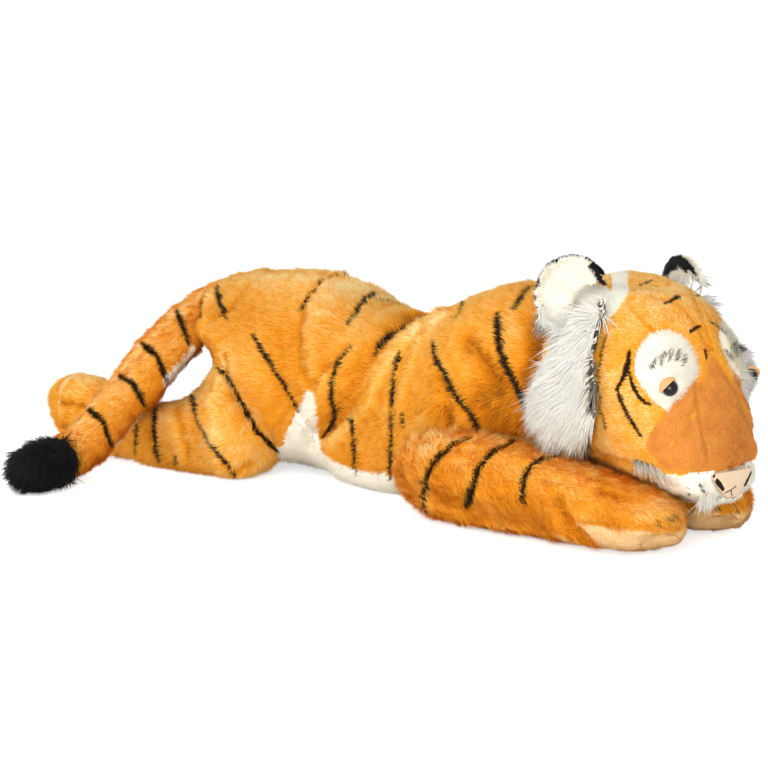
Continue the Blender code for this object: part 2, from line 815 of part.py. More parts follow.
def make_eye(side, word, head, patch, stuffing, pivot):
    """The safety eye, its locking washer behind the cloth, its lid, and the holes that they need."""
    start, ahead = Vector((0.0, side * eye_half_spacing, eye_height)), Vector((1.0, 0.0, 0.0))
    seat = surface_point(head, start, ahead)
    outwards = surface_facing(head, start, ahead, washer_diameter / 2)
    across = Vector((0.0, 0.0, 1.0)).cross(outwards).normalized()
    upwards = outwards.cross(across).normalized()
    radius, stem = eye_diameter / 2, eye_stem_diameter / 2
    pocket = [(radius + seam_gap, cut_overrun), (radius + seam_gap, -eye_recess - seam_gap)]
    hole = [(stem + seam_gap, -eye_recess - seam_gap), (stem + seam_gap, -eye_stem_length - cut_overrun)]
    combine(patch, turned_form("eye_hole", pocket + hole, seat, outwards, eye_sides), "DIFFERENCE")

    front = -pile_fabric_thickness - washer_seat
    back = front - washer_thickness
    room = washer_diameter / 2 + washer_seat
    pocket = [(room, cut_overrun), (room, -eye_stem_length - washer_seat)]
    combine(stuffing, turned_form("washer_room", pocket, seat, outwards, eye_sides), "DIFFERENCE")
    profile = [(washer_diameter / 2, front), (washer_diameter / 2, back)]
    washer = turned_form("washer", profile, seat, outwards, eye_sides)
    hole = [(stem + seam_gap, cut_overrun), (stem + seam_gap, -cut_overrun)]
    combine(washer, turned_form("washer_hole", hole, seat, outwards, eye_sides), "DIFFERENCE")
    give_finish(washer, "eye_washer_" + word, "washer_plastic", pivot)
    eye = turned_form("eye", eye_profile(), seat, outwards, eye_sides)
    give_finish(eye, "eye_" + word, "eye_plastic", pivot)

    inside = dome_profile(radius + seam_gap, eye_bulge + seam_gap, dome_steps)
    inside.append((radius + seam_gap, -cut_overrun))
    reach = seam_gap + eyelid_thickness
    outside = dome_profile(radius + reach, eye_bulge + reach, dome_steps)
    lid = turned_form("eyelid", outside, seat + outwards * (seam_gap * 2), outwards, eye_sides)
    combine(lid, turned_form("lid_room", inside, seat, outwards, eye_sides), "DIFFERENCE")
    rise = (upwards * lid_rise_share + across * (side * lid_outward_share)).normalized()
    sideways = rise.cross(outwards).normalized()
    half = cut_overrun
    floor_of_lid = seat + rise * (radius * lid_line_share)
    below = [(-half, -half * 2), (half, -half * 2), (half, 0.0), (-half, 0.0)]
    combine(lid, prism("lid_cut", below, floor_of_lid, sideways, rise, -half, half), "DIFFERENCE")
    give_finish(lid, "eyelid_" + word, "peach_plush", pivot)


def make_ear(side, word, pivot_height):
    """A cupped white front and a black back, folding together about the line of the ear's base."""
    across, upwards, outwards = ear_frame(side)
    centre = Vector((ear_ahead, side * ear_half_spacing, ear_centre_height))
    if side > 0:
        centre += Vector((left_ear_forward, 0.0, -left_ear_drop))
    pivot = centre - upwards * (ear_height / 2 * pivot_height)

    def cup(share):
        return -ear_cup_depth * (1.0 - share * share)

    def behind(distance):
        return lambda share: cup(share) - distance * (1.0 - share ** ear_rim_power * ear_rim_thinning_share)

    front = dish("ear_front", centre, across, upwards, cup, behind(ear_panel_thickness), ear_front_share)
    back = dish("ear_back", centre - outwards * seam_gap, across, upwards,
                lambda share: cup(share * ear_front_share) - ear_panel_thickness,
                lambda share: cup(share * ear_front_share) - ear_panel_thickness * 2, 1.0)
    panels = ((front, "ear_front_", "white_plush"), (back, "ear_back_", "black_plush"))
    for panel, name, material_name in panels:
        for make_larger in (lambda: head_form(seam_gap), lambda: ruff_form(side, seam_gap)):
            clear_of(panel, make_larger, pivot, across, steps_of(ear_fold_range))
        give_finish(panel, name + word, material_name, pivot)


def neck_pivot():
    return Vector((neck_pivot_ahead, 0.0, neck_pivot_height))


def make_head():
    pivot = neck_pivot()
    nod_axis = Vector((0.0, -1.0, 0.0))
    whole = head_form()
    shell = combine(copy_of(whole, "head_cover"), head_form(-pile_fabric_thickness), "DIFFERENCE")
    stuffing = head_form(-pile_fabric_thickness - stuffing_gap)
    for body in (shell, stuffing):
        clear_of(body, lambda: torso_form(seam_gap), pivot, nod_axis, steps_of(head_nod_range))

    sideways, upwards = Vector((0.0, 1.0, 0.0)), Vector((0.0, 0.0, 1.0))
    far = head_back + head_length + cut_overrun
    lip_bottom = lip_line_height - lip_depth
    zero = Vector((0.0, 0.0, 0.0))

    def cut(name, outline, origin, near_share, material_name):
        near = head_back + head_length * near_share
        take_panel(shell, name, outline, origin, sideways, upwards, near, far, material_name, pivot)

    outline = mirror_outline(nose_outline_shares, nose_width, nose_depth)
    nose_foot = Vector((0.0, 0.0, lip_line_height - nose_depth - nose_drop))
    cut("nose_pad", outline, nose_foot, nose_near_share, "peach_plush")
    for side, word, inner in ((-1, "right", 0.0), (1, "left", -panel_overlap)):
        outer = side * lip_half_width
        outline = [(inner, lip_bottom), (outer, lip_bottom)]
        outline += [(outer, lip_line_height), (inner, lip_line_height)]
        cut("lip_" + word, outline, zero, lip_near_share, "white_plush")
    outline = mirror_outline(bridge_outline_shares, bridge_width, bridge_height + panel_overlap)
    bridge_foot = Vector((0.0, 0.0, lip_line_height - panel_overlap))
    cut("muzzle_bridge", outline, bridge_foot, bridge_near_share, "brown_plush")
    half, top = chin_panel_width / 2, lip_bottom + panel_overlap
    outline = [(-half, -cut_overrun), (half, -cut_overrun), (half, top), (-half, top)]
    cut("chin_panel", outline, zero, chin_near_share, "white_plush")

    for side, word in ((-1, "right"), (1, "left")):
        across, rising, outwards = face_frame(side)
        middle = Vector((0.0, side * (eye_half_spacing - eye_patch_inwards), eye_height + eye_patch_above_eye))
        middle = surface_point(whole, middle, Vector((1.0, 0.0, 0.0)))
        outline = []
        for index in range(patch_sides):
            angle = math.tau * index / patch_sides
            narrowing = 1.0 + patch_point_share * min(0.0, math.sin(angle))
            half = eye_patch_width / 2 * narrowing
            outline.append((half * math.cos(angle), eye_patch_height / 2 * math.sin(angle)))
        patch = take_panel(shell, "eye_patch_" + word, outline, middle, across, rising,
                           -cut_overrun, cut_overrun, "white_plush", None)
        make_eye(side, word, whole, patch, stuffing, pivot)
        give_finish(patch, "eye_patch_" + word, "white_plush", pivot)

        ruff = ruff_form(side)
        clear_of(ruff, lambda: head_form(seam_gap), pivot, nod_axis, (0.0,))
        clear_of(ruff, lambda: torso_form(seam_gap), pivot, nod_axis, steps_of(head_nod_range))
        give_finish(ruff, "cheek_ruff_" + word, "white_plush", pivot)
        make_ear(side, word, ear_base_share)
    bpy.data.objects.remove(whole, do_unlink=True)
    give_finish(shell, "head_cover", "orange_plush", pivot)
    give_finish(stuffing, "head_stuffing", "polyester_fill", pivot)


def make_limb(word, name, form, larger, pivot, axis, limits, sole_cut, sole_material):
    """A limb's pile cover, its sole panel and its stuffing, open to the torso where it is sewn on."""
    cover = cut_floor(form(0.0))
    combine(cover, form(-pile_fabric_thickness), "DIFFERENCE")
    stuffing = form(-pile_fabric_thickness - stuffing_gap)
    for body in (cover, stuffing):
        for make_larger in larger:
            clear_of(body, make_larger, pivot, axis, steps_of(limits))
    if sole_cut:
        sole = copy_of(cover, name + "_sole_" + word)
        combine(sole, sole_cut(-seam_gap), "INTERSECT")
        combine(cover, sole_cut(0.0), "DIFFERENCE")
        give_finish(sole, name + "_sole_" + word, sole_material, pivot)
    give_finish(cover, name + "_cover_" + word, "orange_plush", pivot)
    give_finish(stuffing, name + "_stuffing_" + word, "polyester_fill", pivot)


def make_forelegs():
    for side, word in ((-1, "right"), (1, "left")):
        back = foreleg_lay(side)[0]
        pivot = Vector((foreleg_pivot_ahead - back, side * foreleg_pivot_half_spacing, foreleg_height / 2))
        front = foreleg_length - elbow_back - back

        def sole_cut(growth, front=front):
            low = (front - fore_sole_length - growth, -head_width, -cut_overrun)
            high = (front + cut_overrun, head_width, fore_sole_height + growth)
            return box_between("sole_cut", low, high)

        larger = (lambda: torso_form(seam_gap), lambda: head_form(seam_gap))
        form = lambda growth, side=side: foreleg_form(side, growth)
        make_limb(word, "foreleg", form, larger, pivot, Vector((0.0, 0.0, side)), foreleg_swing_range,
                  sole_cut, "beige_plush")


def hip_pivot(side):
    return Vector((-hindleg_pivot_back, side * hindleg_pivot_half_spacing, thigh_height / 2))


def make_hindlegs():
    for side, word in ((-1, "right"), (1, "left")):
        pivot = hip_pivot(side)
        heel = knee_ahead - shank_length

        def sole_cut(growth, heel=heel):
            low = (heel - cut_overrun, -torso_width, -cut_overrun)
            high = (heel + hind_sole_length + growth, torso_width, shank_thickness + cut_overrun)
            return box_between("sole_cut", low, high)

        larger = (lambda: torso_form(seam_gap),)
        form = lambda growth, side=side: hindleg_form(side, growth)
        make_limb(word, "hindleg", form, larger, pivot, Vector((0.0, 0.0, side)), hindleg_swing_range,
                  sole_cut, "beige_plush")


def make_tail():
    root = tail_point(tail_station_shares[1])
    reach = tail_point(tail_station_shares[-1]) - root
    lift_axis = Vector((reach.x, reach.y, 0.0)).cross(Vector((0.0, 0.0, 1.0))).normalized()
    cover = cut_floor(tail_form())
    combine(cover, tail_form(-pile_fabric_thickness), "DIFFERENCE")
    stuffing = tail_form(-pile_fabric_thickness - stuffing_gap)
    for body in (cover, stuffing):
        clear_of(body, lambda: torso_form(seam_gap), root, lift_axis, steps_of(tail_lift_range))
        swing = Vector((0.0, 0.0, 1.0))
        swings = steps_of(hindleg_swing_range)
        clear_of(body, lambda: hindleg_form(-1, seam_gap), hip_pivot(-1), swing, swings)
    panel = copy_of(cover, "tail_underside")
    combine(panel, tail_underside_form(-seam_gap), "INTERSECT")
    combine(cover, tail_underside_form(), "DIFFERENCE")
    give_finish(panel, "tail_underside", "white_plush", root)
    give_finish(cover, "tail_cover", "orange_plush", root)
    give_finish(stuffing, "tail_stuffing", "polyester_fill", root)
    give_finish(cut_floor(tail_tip_form()), "tail_tip", "black_plush", root)


clear_scene()
make_torso()
make_head()
make_forelegs()
make_hindlegs()
make_tail()
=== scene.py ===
"""A plush tiger lying on its belly: stuffed forms of short and long pile, with eyes, nose and toes."""

import math

import bmesh
import bpy
import numpy as np
from mathutils import Matrix, Vector
from mathutils.bvhtree import BVHTree


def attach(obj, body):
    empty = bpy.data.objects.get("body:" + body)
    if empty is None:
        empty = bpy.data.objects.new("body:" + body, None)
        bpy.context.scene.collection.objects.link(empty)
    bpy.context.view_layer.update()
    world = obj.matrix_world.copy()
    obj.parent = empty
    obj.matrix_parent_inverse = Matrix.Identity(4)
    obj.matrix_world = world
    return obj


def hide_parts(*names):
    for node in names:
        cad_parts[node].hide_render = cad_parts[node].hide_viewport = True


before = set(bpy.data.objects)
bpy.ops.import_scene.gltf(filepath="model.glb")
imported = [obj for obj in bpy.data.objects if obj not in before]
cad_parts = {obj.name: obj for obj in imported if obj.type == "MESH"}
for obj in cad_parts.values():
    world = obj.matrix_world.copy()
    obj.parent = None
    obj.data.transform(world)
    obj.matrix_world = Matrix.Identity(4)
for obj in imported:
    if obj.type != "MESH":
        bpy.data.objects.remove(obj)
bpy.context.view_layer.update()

# The photograph's view: where the camera stands, and the pixel that its target falls on
camera_turn = math.radians(50.0)
camera_rise = math.radians(9.6)
camera_distance = 2.2
camera_target = Vector((0.0, -0.1381, 0.1))
photo_size = 768
focus_in_pixels = 2820.5
target_pixel = (384.0, 400.0)
sensor_width = 36.0

camera_back = Vector((
    math.sin(camera_turn) * math.cos(camera_rise),
    -math.cos(camera_turn) * math.cos(camera_rise),
    math.sin(camera_rise),
))
camera_right = Vector((math.cos(camera_turn), math.sin(camera_turn), 0.0))
camera_up = camera_back.cross(camera_right)
camera_place = camera_target + camera_back * camera_distance
upwards = Vector((0.0, 0.0, 1.0))

# The stripes that the photograph shows, as pixels along each one with its half width in millimetres
torso_stripes = [
    (1.6, [(392, 292), (384, 291), (370, 296), (359, 306), (355, 315), (347, 325)]),
    (1.2, [(335, 275), (322, 282), (309, 296), (298, 312)]),
    (1.7, [(405, 327), (390, 335), (380, 345), (374, 356)]),
    (2.0, [(352, 347), (338, 362), (332, 380), (331, 400), (336, 415), (330, 428), (323, 437)]),
    (1.7, [(351, 415), (354, 440), (356, 474)]),
    (1.8, [(400, 350), (394, 375), (392, 400), (392, 440), (390, 480)]),
    (1.5, [(402, 413), (405, 429)]),
    (2.4, [(433, 342), (436, 360), (444, 372), (452, 390), (460, 402), (471, 413), (479, 432)]),
    (2.2, [(497, 313), (497, 335), (500, 352), (506, 368), (515, 385), (524, 402), (529, 416)]),
    (1.8, [(531, 287), (522, 295), (513, 310)]),
    (1.0, [(470, 295), (462, 308), (455, 320)]),
    (1.0, [(440, 311), (433, 316), (430, 321)]),
    (1.4, [(253, 335), (260, 348), (273, 368), (287, 390), (300, 412)]),
    (2.0, [(212, 357), (224, 374), (237, 396), (247, 415), (256, 430), (268, 444)]),
    (1.7, [(218, 280), (217, 294), (221, 306), (226, 319)]),
]
hindleg_stripes = [
    (2.0, [(212, 357), (224, 374), (237, 396), (247, 415), (256, 430), (268, 444), (281, 456)]),
    (2.0, [(253, 335), (262, 350), (275, 369), (288, 391), (300, 411)]),
    (1.7, [(192, 397), (197, 417), (205, 434), (216, 452), (228, 466), (236, 477)]),
    (1.6, [(137, 425), (136, 448), (139, 468)]),
    (2.2, [(155, 400), (154, 430), (157, 455), (163, 468)]),
    (1.0, [(175, 455), (177, 470)]),
]
tail_stripes = [
    (1.9, [(176, 311), (189, 346)]),
    (2.2, [(141, 343), (157, 358), (167, 384)]),
    (2.2, [(114, 373), (133, 385), (146, 411)]),
    (2.0, [(88, 410), (103, 424), (112, 452)]),
]
foreleg_stripes = [
    (2.2, [(470, 438), (455, 445), (441, 457), (431, 470), (427, 484), (424, 498), (428, 513)]),
    (2.4, [(521, 441), (509, 445), (496, 451), (486, 460), (479, 472), (474, 490), (468, 506)]),
    (1.8, [(562, 455), (545, 459), (532, 466), (526, 478), (524, 490), (526, 504)]),
]
cheek_stripes = [
    (2.0, [(629, 351), (628, 362), (624, 376), (617, 389)]),
    (1.4, [(617, 389), (621, 401), (628, 416), (641, 436)]),
    (1.4, [(629, 373), (632, 384), (638, 396), (645, 403), (651, 405)]),
    (0.9, [(639, 286), (652, 281)]),
]
forehead_marks = [
    (1.5, [(664, 304), (671, 301)]),
    (2.4, [(672, 300), (679, 297)]),
    (1.1, [(690, 295), (699, 297), (708, 302), (717, 308)]),
    (1.6, [(690, 332), (695, 328), (700, 326)]),
    (1.2, [(710, 322), (717, 327), (724, 333)]),
    (1.9, [(705, 350), (706, 358)]),
    (1.2, [(724, 350), (730, 359)]),
]
brow_marks = [
    (2.4, [(652, 366), (657, 359)]),
    (3.0, [(661, 363), (664, 354)]),
    (3.0, [(669, 359), (672, 351)]),
    (3.0, [(677, 360), (679, 352)]),
    (2.4, [(684, 365), (685, 356)]),
]
ruff_streaks = [
    (1.3, [(606, 336), (600, 356)]),
    (1.4, [(602, 355), (597, 376)]),
    (1.4, [(599, 376), (597, 396)]),
    (1.4, [(600, 396), (600, 414)]),
    (1.3, [(602, 412), (606, 430)]),
]

# Strips where another cloth shows inside a panel, or where a panel's own cloth runs on over its neighbour:
# a half width in metres, and pixels along the strip
ear_rim = (0.0048, [(582, 259), (592, 264), (599, 272), (601, 282), (600, 293)])
ear_heel = (0.0090, [(601, 300), (603, 312), (602, 326)])
ear_root = (0.0058, [(619, 272), (621, 284), (622, 296), (612, 310)])
ear_foot = (0.0110, [(566, 300), (580, 296), (596, 297), (608, 304)])
tail_white = (0.0050, [(168, 380), (181, 366), (194, 351)])
sole_end = (0.0090, [(553, 522), (566, 530), (586, 541)])
paw_rim = (0.0120, [(66, 376), (56, 386), (53, 402), (55, 418), (62, 432)])
flank_edge = (0.0080, [(286, 394), (290, 404), (286, 422), (279, 437)])
belly_peaks = [
    (0.0055, [(312, 396), (308, 406), (302, 419), (296, 431), (292, 440)]),
    (0.0055, [(313, 400), (314, 415), (315, 430), (318, 446)]),
]
bridge_edge = (0.0085, [(697, 392), (683, 408), (668, 428), (658, 446), (668, 460), (684, 455), (688, 430)])
lip_edge = (0.0050, [(671, 479), (682, 481), (695, 482)])

# Where tufts of longer hair grow: a reach in metres, and pixels
flank_tufts_place = (0.0130, [(418, 440), (430, 428), (444, 418), (452, 432)])
chin_tuft_place = (0.0055, [(704, 497), (710, 497)])
cheek_tuft_place = (0.0036, [(635, 461), (646, 465), (657, 471)])
left_patch_place = (0.0080, [(737, 346), (741, 360), (743, 376), (744, 384)])

# The lower outer edge of the right eye patch, which is cut to a point under the eye
patch_edge = [(634, 368), (645, 392), (671, 413)]

# Short dark marks: dots on the lips, nostrils, the mouth's stitches, and the stitches over the toes
lip_dots = [
    (0.9, [(687, 487), (690, 489)]),
    (0.8, [(694, 494), (697, 496)]),
    (0.8, [(699, 485), (702, 487)]),
    (0.8, [(701, 490), (704, 492)]),
    (0.8, [(688, 493), (690, 495)]),
    (0.8, [(706, 494), (709, 496)]),
]
nose_marks = [
    (2.4, [(714, 476), (718, 482), (723, 489)]),
]
mouth_marks = [
    (0.5, [(725, 493), (731, 490), (736, 486)]),
    (0.5, [(731, 490), (732, 496)]),
]
right_toe_marks = [
    (1.3, [(655, 521), (660, 526)]),
    (1.2, [(666, 521), (673, 518), (679, 520)]),
]
left_toe_marks = [
    (1.4, [(713, 503), (718, 509)]),
    (1.2, [(731, 507), (738, 503)]),
    (1.1, [(735, 511), (740, 512)]),
]

# Round ends that fill the tail's root out to the rump: a middle and a radius
tail_root_balls = [((-0.373, -0.011, 0.125), 0.0235), ((-0.367, -0.002, 0.127), 0.0235)]

# How far the head fills out under the nose pad
nose_rise = 0.0022

# Folds that the pile sinks into, as pixels with each one's half width and depth in millimetres; one with a
# depth below zero swells the form instead
main_crease = [
    (431, 315), (409, 325), (384, 354), (370, 373), (361, 399), (347, 415), (333, 430), (322, 441),
]
second_crease = [(434, 316), (420, 334), (406, 351), (398, 382), (392, 407)]
haunch_crease = [(341, 277), (322, 290), (308, 306), (301, 334), (302, 362), (313, 387)]


def moved(pixels, across, down):
    """The same line of pixels, some way off."""
    return [(x + across, y + down) for x, y in pixels]


torso_folds = [
    (3.4, 7.5, main_crease),
    (11.0, 8.0, moved(main_crease, -9, -1)),
    (8.0, -5.0, moved(main_crease, 10, 3)),
    (2.8, 4.5, second_crease),
    (7.0, -2.5, moved(second_crease, 9, 0)),
    (3.0, 5.5, haunch_crease),
    (8.0, -3.0, moved(haunch_crease, 11, 0)),
    (3.0, 3.5, [(350, 347), (336, 357), (325, 368), (319, 382)]),
    (3.6, 4.5, [(471, 343), (482, 355), (493, 368), (505, 390)]),
    (9.5, 3.0, [(471, 343), (493, 368), (505, 390)]),
    (2.8, 3.5, [(441, 379), (451, 410), (451, 443)]),
    (5.0, 3.0, [(412, 436), (424, 446), (440, 448)]),
    (9.0, 2.0, [(540, 325), (538, 360), (530, 395)]),
    (26.0, -4.5, [(300, 282), (335, 285), (370, 294), (400, 306)]),
    (19.0, -16.0, [(214, 335), (232, 352), (250, 378), (264, 408), (276, 438)]),
    (15.0, -9.0, [(212, 352), (222, 363), (234, 378), (248, 400), (260, 425)]),
    (3.0, 4.5, [(248, 286), (240, 300), (228, 320), (214, 341)]),
    (11.0, -6.0, [(218, 285), (214, 298), (211, 312)]),
    (18.0, -7.0, [(345, 470), (370, 478), (398, 486)]),
]
hindleg_folds = [
    (14.0, 7.0, [(212, 348), (225, 362), (240, 385), (255, 410)]),
    (12.0, -4.0, [(112, 458), (150, 460), (190, 469), (240, 473)]),
    (3.0, 3.0, [(62, 404), (74, 405), (91, 409), (108, 414)]),
    (3.0, 1.5, [(55, 424), (68, 428)]),
    (4.0, 2.0, [(176, 402), (182, 428), (190, 456)]),
    (4.0, 2.0, [(252, 462), (240, 468), (228, 474)]),
]

# Where the haunch is drawn out over the flank: a reach in pixels, a way to go in metres, and pixels
haunch_pulls = [
    (22.0, (0.014, 0.017, 0.0), [(186, 358), (188, 370), (184, 384)]),
]

tail_folds = [
    (15.0, -9.0, [(192, 338), (178, 352), (163, 370), (150, 390)]),
    (14.0, 5.0, [(118, 372), (140, 345), (165, 320), (195, 296)]),
]
foreleg_folds = [
    (13.0, 8.0, [(655, 546), (672, 541), (684, 531)]),
    (14.0, 8.0, [(416, 495), (440, 508), (480, 520), (530, 530)]),
    (5.0, 2.5, [(560, 505), (572, 525), (585, 540)]),
    (4.0, 1.5, [(600, 490), (620, 497), (640, 500)]),
]
left_foreleg_folds = [
    (14.0, 10.0, [(694, 540), (712, 534), (733, 522)]),
]
far_cheek_folds = [
    (24.0, 6.0, [(752, 385), (757, 410), (759, 440), (756, 464)]),
]
crown_folds = [
    (16.0, 5.0, [(628, 281), (642, 280), (657, 282)]),
]
head_folds = [
    (1.6, 1.0, [(631, 308), (640, 318), (657, 333)]),
    (1.4, 0.9, [(690, 290), (702, 318), (713, 350)]),
    (1.4, 1.0, [(695, 384), (700, 422), (708, 459)]),
]

# Painted light and shade on the pile: paler stretches are painted highlights over humps and tops, deeper ones
# painted shade in hollows and on low sides; a half width in millimetres, a step on the ramps' scale, and
# pixels
torso_painted_light = [
    (11.0, -0.15, moved(main_crease, -12, 0)),
    (5.5, 0.16, moved(main_crease, 9, 3)),
    (8.0, 0.07, moved(haunch_crease, 10, 0)),
    (5.0, 0.09, moved(second_crease, 9, 0)),
    (6.0, 0.08, [(480, 335), (497, 362), (512, 388)]),
    (13.0, 0.13, [(250, 278), (300, 280), (350, 287), (400, 304)]),
    (13.0, 0.12, [(450, 305), (490, 290), (520, 282)]),
    (12.0, -0.08, [(300, 372), (290, 395)]),
    (16.0, -0.24, [(486, 402), (508, 424)]),
    (13.0, -0.18, [(541, 330), (537, 370), (528, 400)]),
    (24.0, -0.09, [(232, 305), (262, 322), (285, 350)]),
    (13.0, -0.07, [(316, 330), (318, 362)]),
    (8.0, -0.09, [(471, 343), (493, 368), (505, 390)]),
    (9.0, -0.08, [(440, 380), (446, 412), (450, 440)]),
    (10.0, -0.06, [(226, 292), (214, 320)]),
    (9.0, 0.06, [(323, 385), (322, 410), (325, 432)]),
]
hindleg_painted_light = [
    (22.0, 0.17, [(218, 440), (262, 462)]),
    (12.0, 0.05, [(150, 440), (180, 450)]),
]
tail_painted_light = [
    (10.0, -0.05, [(190, 340), (160, 375), (130, 410), (105, 450)]),
    (7.0, 0.15, [(211, 286), (205, 297), (202, 308)]),
    (9.0, 0.17, [(205, 292), (165, 324), (120, 370), (75, 427)]),
]
foreleg_painted_light = [
    (9.0, 0.12, [(430, 448), (480, 437), (540, 443), (600, 466)]),
    (14.0, -0.05, [(500, 492), (560, 500)]),
    (10.0, 0.05, [(640, 500), (672, 505)]),
]


def camera_ray(pixel):
    """The direction from the camera through a pixel of the photograph."""
    across = (pixel[0] - target_pixel[0]) / focus_in_pixels
    down = (pixel[1] - target_pixel[1]) / focus_in_pixels
    return (camera_right * across - camera_up * down - camera_back).normalized()


def make_camera():
    data = bpy.data.cameras.new("camera")
    data.sensor_width = sensor_width
    data.lens = focus_in_pixels * sensor_width / photo_size
    data.shift_y = (target_pixel[1] - photo_size / 2) / photo_size
    camera = bpy.data.objects.new("camera", data)
    bpy.context.scene.collection.objects.link(camera)
    columns = Matrix((camera_right, camera_up, camera_back)).transposed().to_4x4()
    camera.matrix_world = Matrix.Translation(camera_place) @ columns
    bpy.context.scene.camera = camera


# Colours of the pile from black through its roots to its palest tips, in light's own values
orange_ramp = [
    (0.00, (0.008, 0.006, 0.004)),
    (0.20, (0.020, 0.012, 0.006)),
    (0.32, (0.300, 0.090, 0.003)),
    (0.46, (0.660, 0.215, 0.004)),
    (0.62, (0.780, 0.340, 0.016)),
    (0.78, (0.840, 0.485, 0.085)),
    (0.92, (0.880, 0.660, 0.260)),
    (1.00, (0.910, 0.785, 0.440)),
]
white_ramp = [
    (0.00, (0.012, 0.011, 0.010)),
    (0.22, (0.050, 0.047, 0.043)),
    (0.40, (0.560, 0.500, 0.390)),
    (0.60, (0.800, 0.750, 0.620)),
    (0.80, (0.860, 0.830, 0.730)),
    (1.00, (0.880, 0.865, 0.800)),
]
brown_ramp = [
    (0.00, (0.040, 0.012, 0.004)),
    (0.30, (0.420, 0.130, 0.016)),
    (0.60, (0.720, 0.280, 0.045)),
    (0.85, (0.850, 0.430, 0.120)),
    (1.00, (0.920, 0.620, 0.280)),
]
beige_ramp = [
    (0.00, (0.030, 0.018, 0.010)),
    (0.30, (0.600, 0.300, 0.090)),
    (0.60, (0.740, 0.470, 0.200)),
    (0.85, (0.820, 0.590, 0.300)),
    (1.00, (0.920, 0.720, 0.430)),
]
black_ramp = [
    (0.00, (0.003, 0.003, 0.003)),
    (0.50, (0.008, 0.009, 0.010)),
    (0.85, (0.020, 0.022, 0.025)),
    (1.00, (0.060, 0.065, 0.070)),
]

nose_ramp = [
    (0.00, (0.010, 0.008, 0.007)),
    (0.30, (0.030, 0.020, 0.016)),
    (0.60, (0.760, 0.520, 0.330)),
    (1.00, (0.820, 0.640, 0.450)),
]

# Cloth: its gloss, the roughness of its fuzz, and the knit under the pile
cloth_gloss = 0.12
fuzz_roughness = 0.45
knit_scale = 900.0
knit_detail = 3.0
knit_shading = 0.22
knit_strength = 0.5
knit_height = 0.0006

# How much paler a hair is at its tip than at its root, on the ramps' scale, and where between them it keeps
# its own shade
tip_gain = 0.38
tip_middle = 0.45

# How much of the light that falls on a hair's far side comes through it
light_through = 0.30

# Shades on the ramps' scale: the deepest outside the stripes, a stripe's own with how it varies and the shade
# that it stays below, the painted top light that a hair gains where it faces up and loses where it faces down,
# the swells over the form, and the painted shade that makes seams and folds deeper
deepest_shade = 0.38
stripe_shade = 0.07
stripe_variation = (-0.03, 0.05)
striped_below = 0.2
painted_top_light = 0.16
shade_swell = 0.04
seam_painted_shade = 0.06
fold_painted_shade = 0.22
backing_fold_painted_shade = 0.12
backing_stripe_share = 0.85

millimetre = 0.001

# How many pixels lie between two rays of a line
ray_step = 6.0

# A fold wider than this only shapes the form, and leaves the colour of the pile as it is; a narrower one that
# sinks in also gets painted shade
wide_fold = 0.010

# A stripe's width at its ends and what its middle adds, the length over which it narrows, how much its edge
# wavers, and where its soft edge starts and stops
stripe_end_share = 0.55
stripe_middle_share = 0.45
stripe_taper = 0.012
stripe_waver = 0.15
stripe_edge = (0.62, 1.12)
stripe_fringe = 0.0004

# Seams between panels: how deep and how wide they pull the form in
seam_depth = 0.0012
seam_width = 0.0025

# A root that lies deeper than this inside another form grows no hair
hidden_depth = 0.003

# Hairs: how a blade rolls, how much a hair thins along its length, how far its root and tip stay off the
# floor, how deep it starts in the cloth, the range of its radius, and how bends differ
blade_roll = 0.25
hair_thinning = 0.25
root_clearance = 0.0004
tip_clearance = 0.0006
root_depth = 0.0006
radius_range = (0.8, 1.2)
bend_scatter = 0.10

# The spread of colour across a hair, and how near its map may come to the ramp's ends
colour_spread = 0.004
ramp_range = (0.006, 0.994)

# The light on a hair: how far its sides turn outwards, how much its tip faces like the cloth and how much
# along the hair, and how hairs differ
side_turn = 0.45
tip_cloth_share = 0.85
tip_hair_share = 0.35
shading_scatter = 0.08

# How hairs lean and vary: swells and scatter of the lean in radians, its least and most, the scatter to the
# side, the swells and the range of the length, how much shorter the pile is at a seam, and how tufts differ
lean_swell = 0.18
lean_scatter = 0.12
lean_range = (0.1, 1.45)
side_scatter = 0.16
length_swell = 0.12
length_range = (0.75, 1.15)
seam_trim = 0.25
tuft_length_step = 0.10
tuft_shade_step = 0.03
tuft_step_limit = 1.5

# Along a hair, the shares of its length at which its shade and its stripes are read
shade_share = 0.55
stripe_share = 0.85


def fill_ramp(ramp, stops):
    points = ramp.color_ramp.elements
    while len(points) > 1:
        points.remove(points[-1])
    points[0].position, points[0].color = stops[0][0], (*stops[0][1], 1.0)
    for place, colour in stops[1:]:
        points.new(place).color = (*colour, 1.0)


def new_material(name, roughness, sheen, sheen_tint):
    material = bpy.data.materials.new(name)
    material.use_nodes = True
    shader = material.node_tree.nodes["Principled BSDF"]
    shader.inputs["Roughness"].default_value = roughness
    shader.inputs["Specular IOR Level"].default_value = cloth_gloss
    shader.inputs["Sheen Weight"].default_value = sheen
    shader.inputs["Sheen Roughness"].default_value = fuzz_roughness
    shader.inputs["Sheen Tint"].default_value = (*sheen_tint, 1.0)
    return material, shader


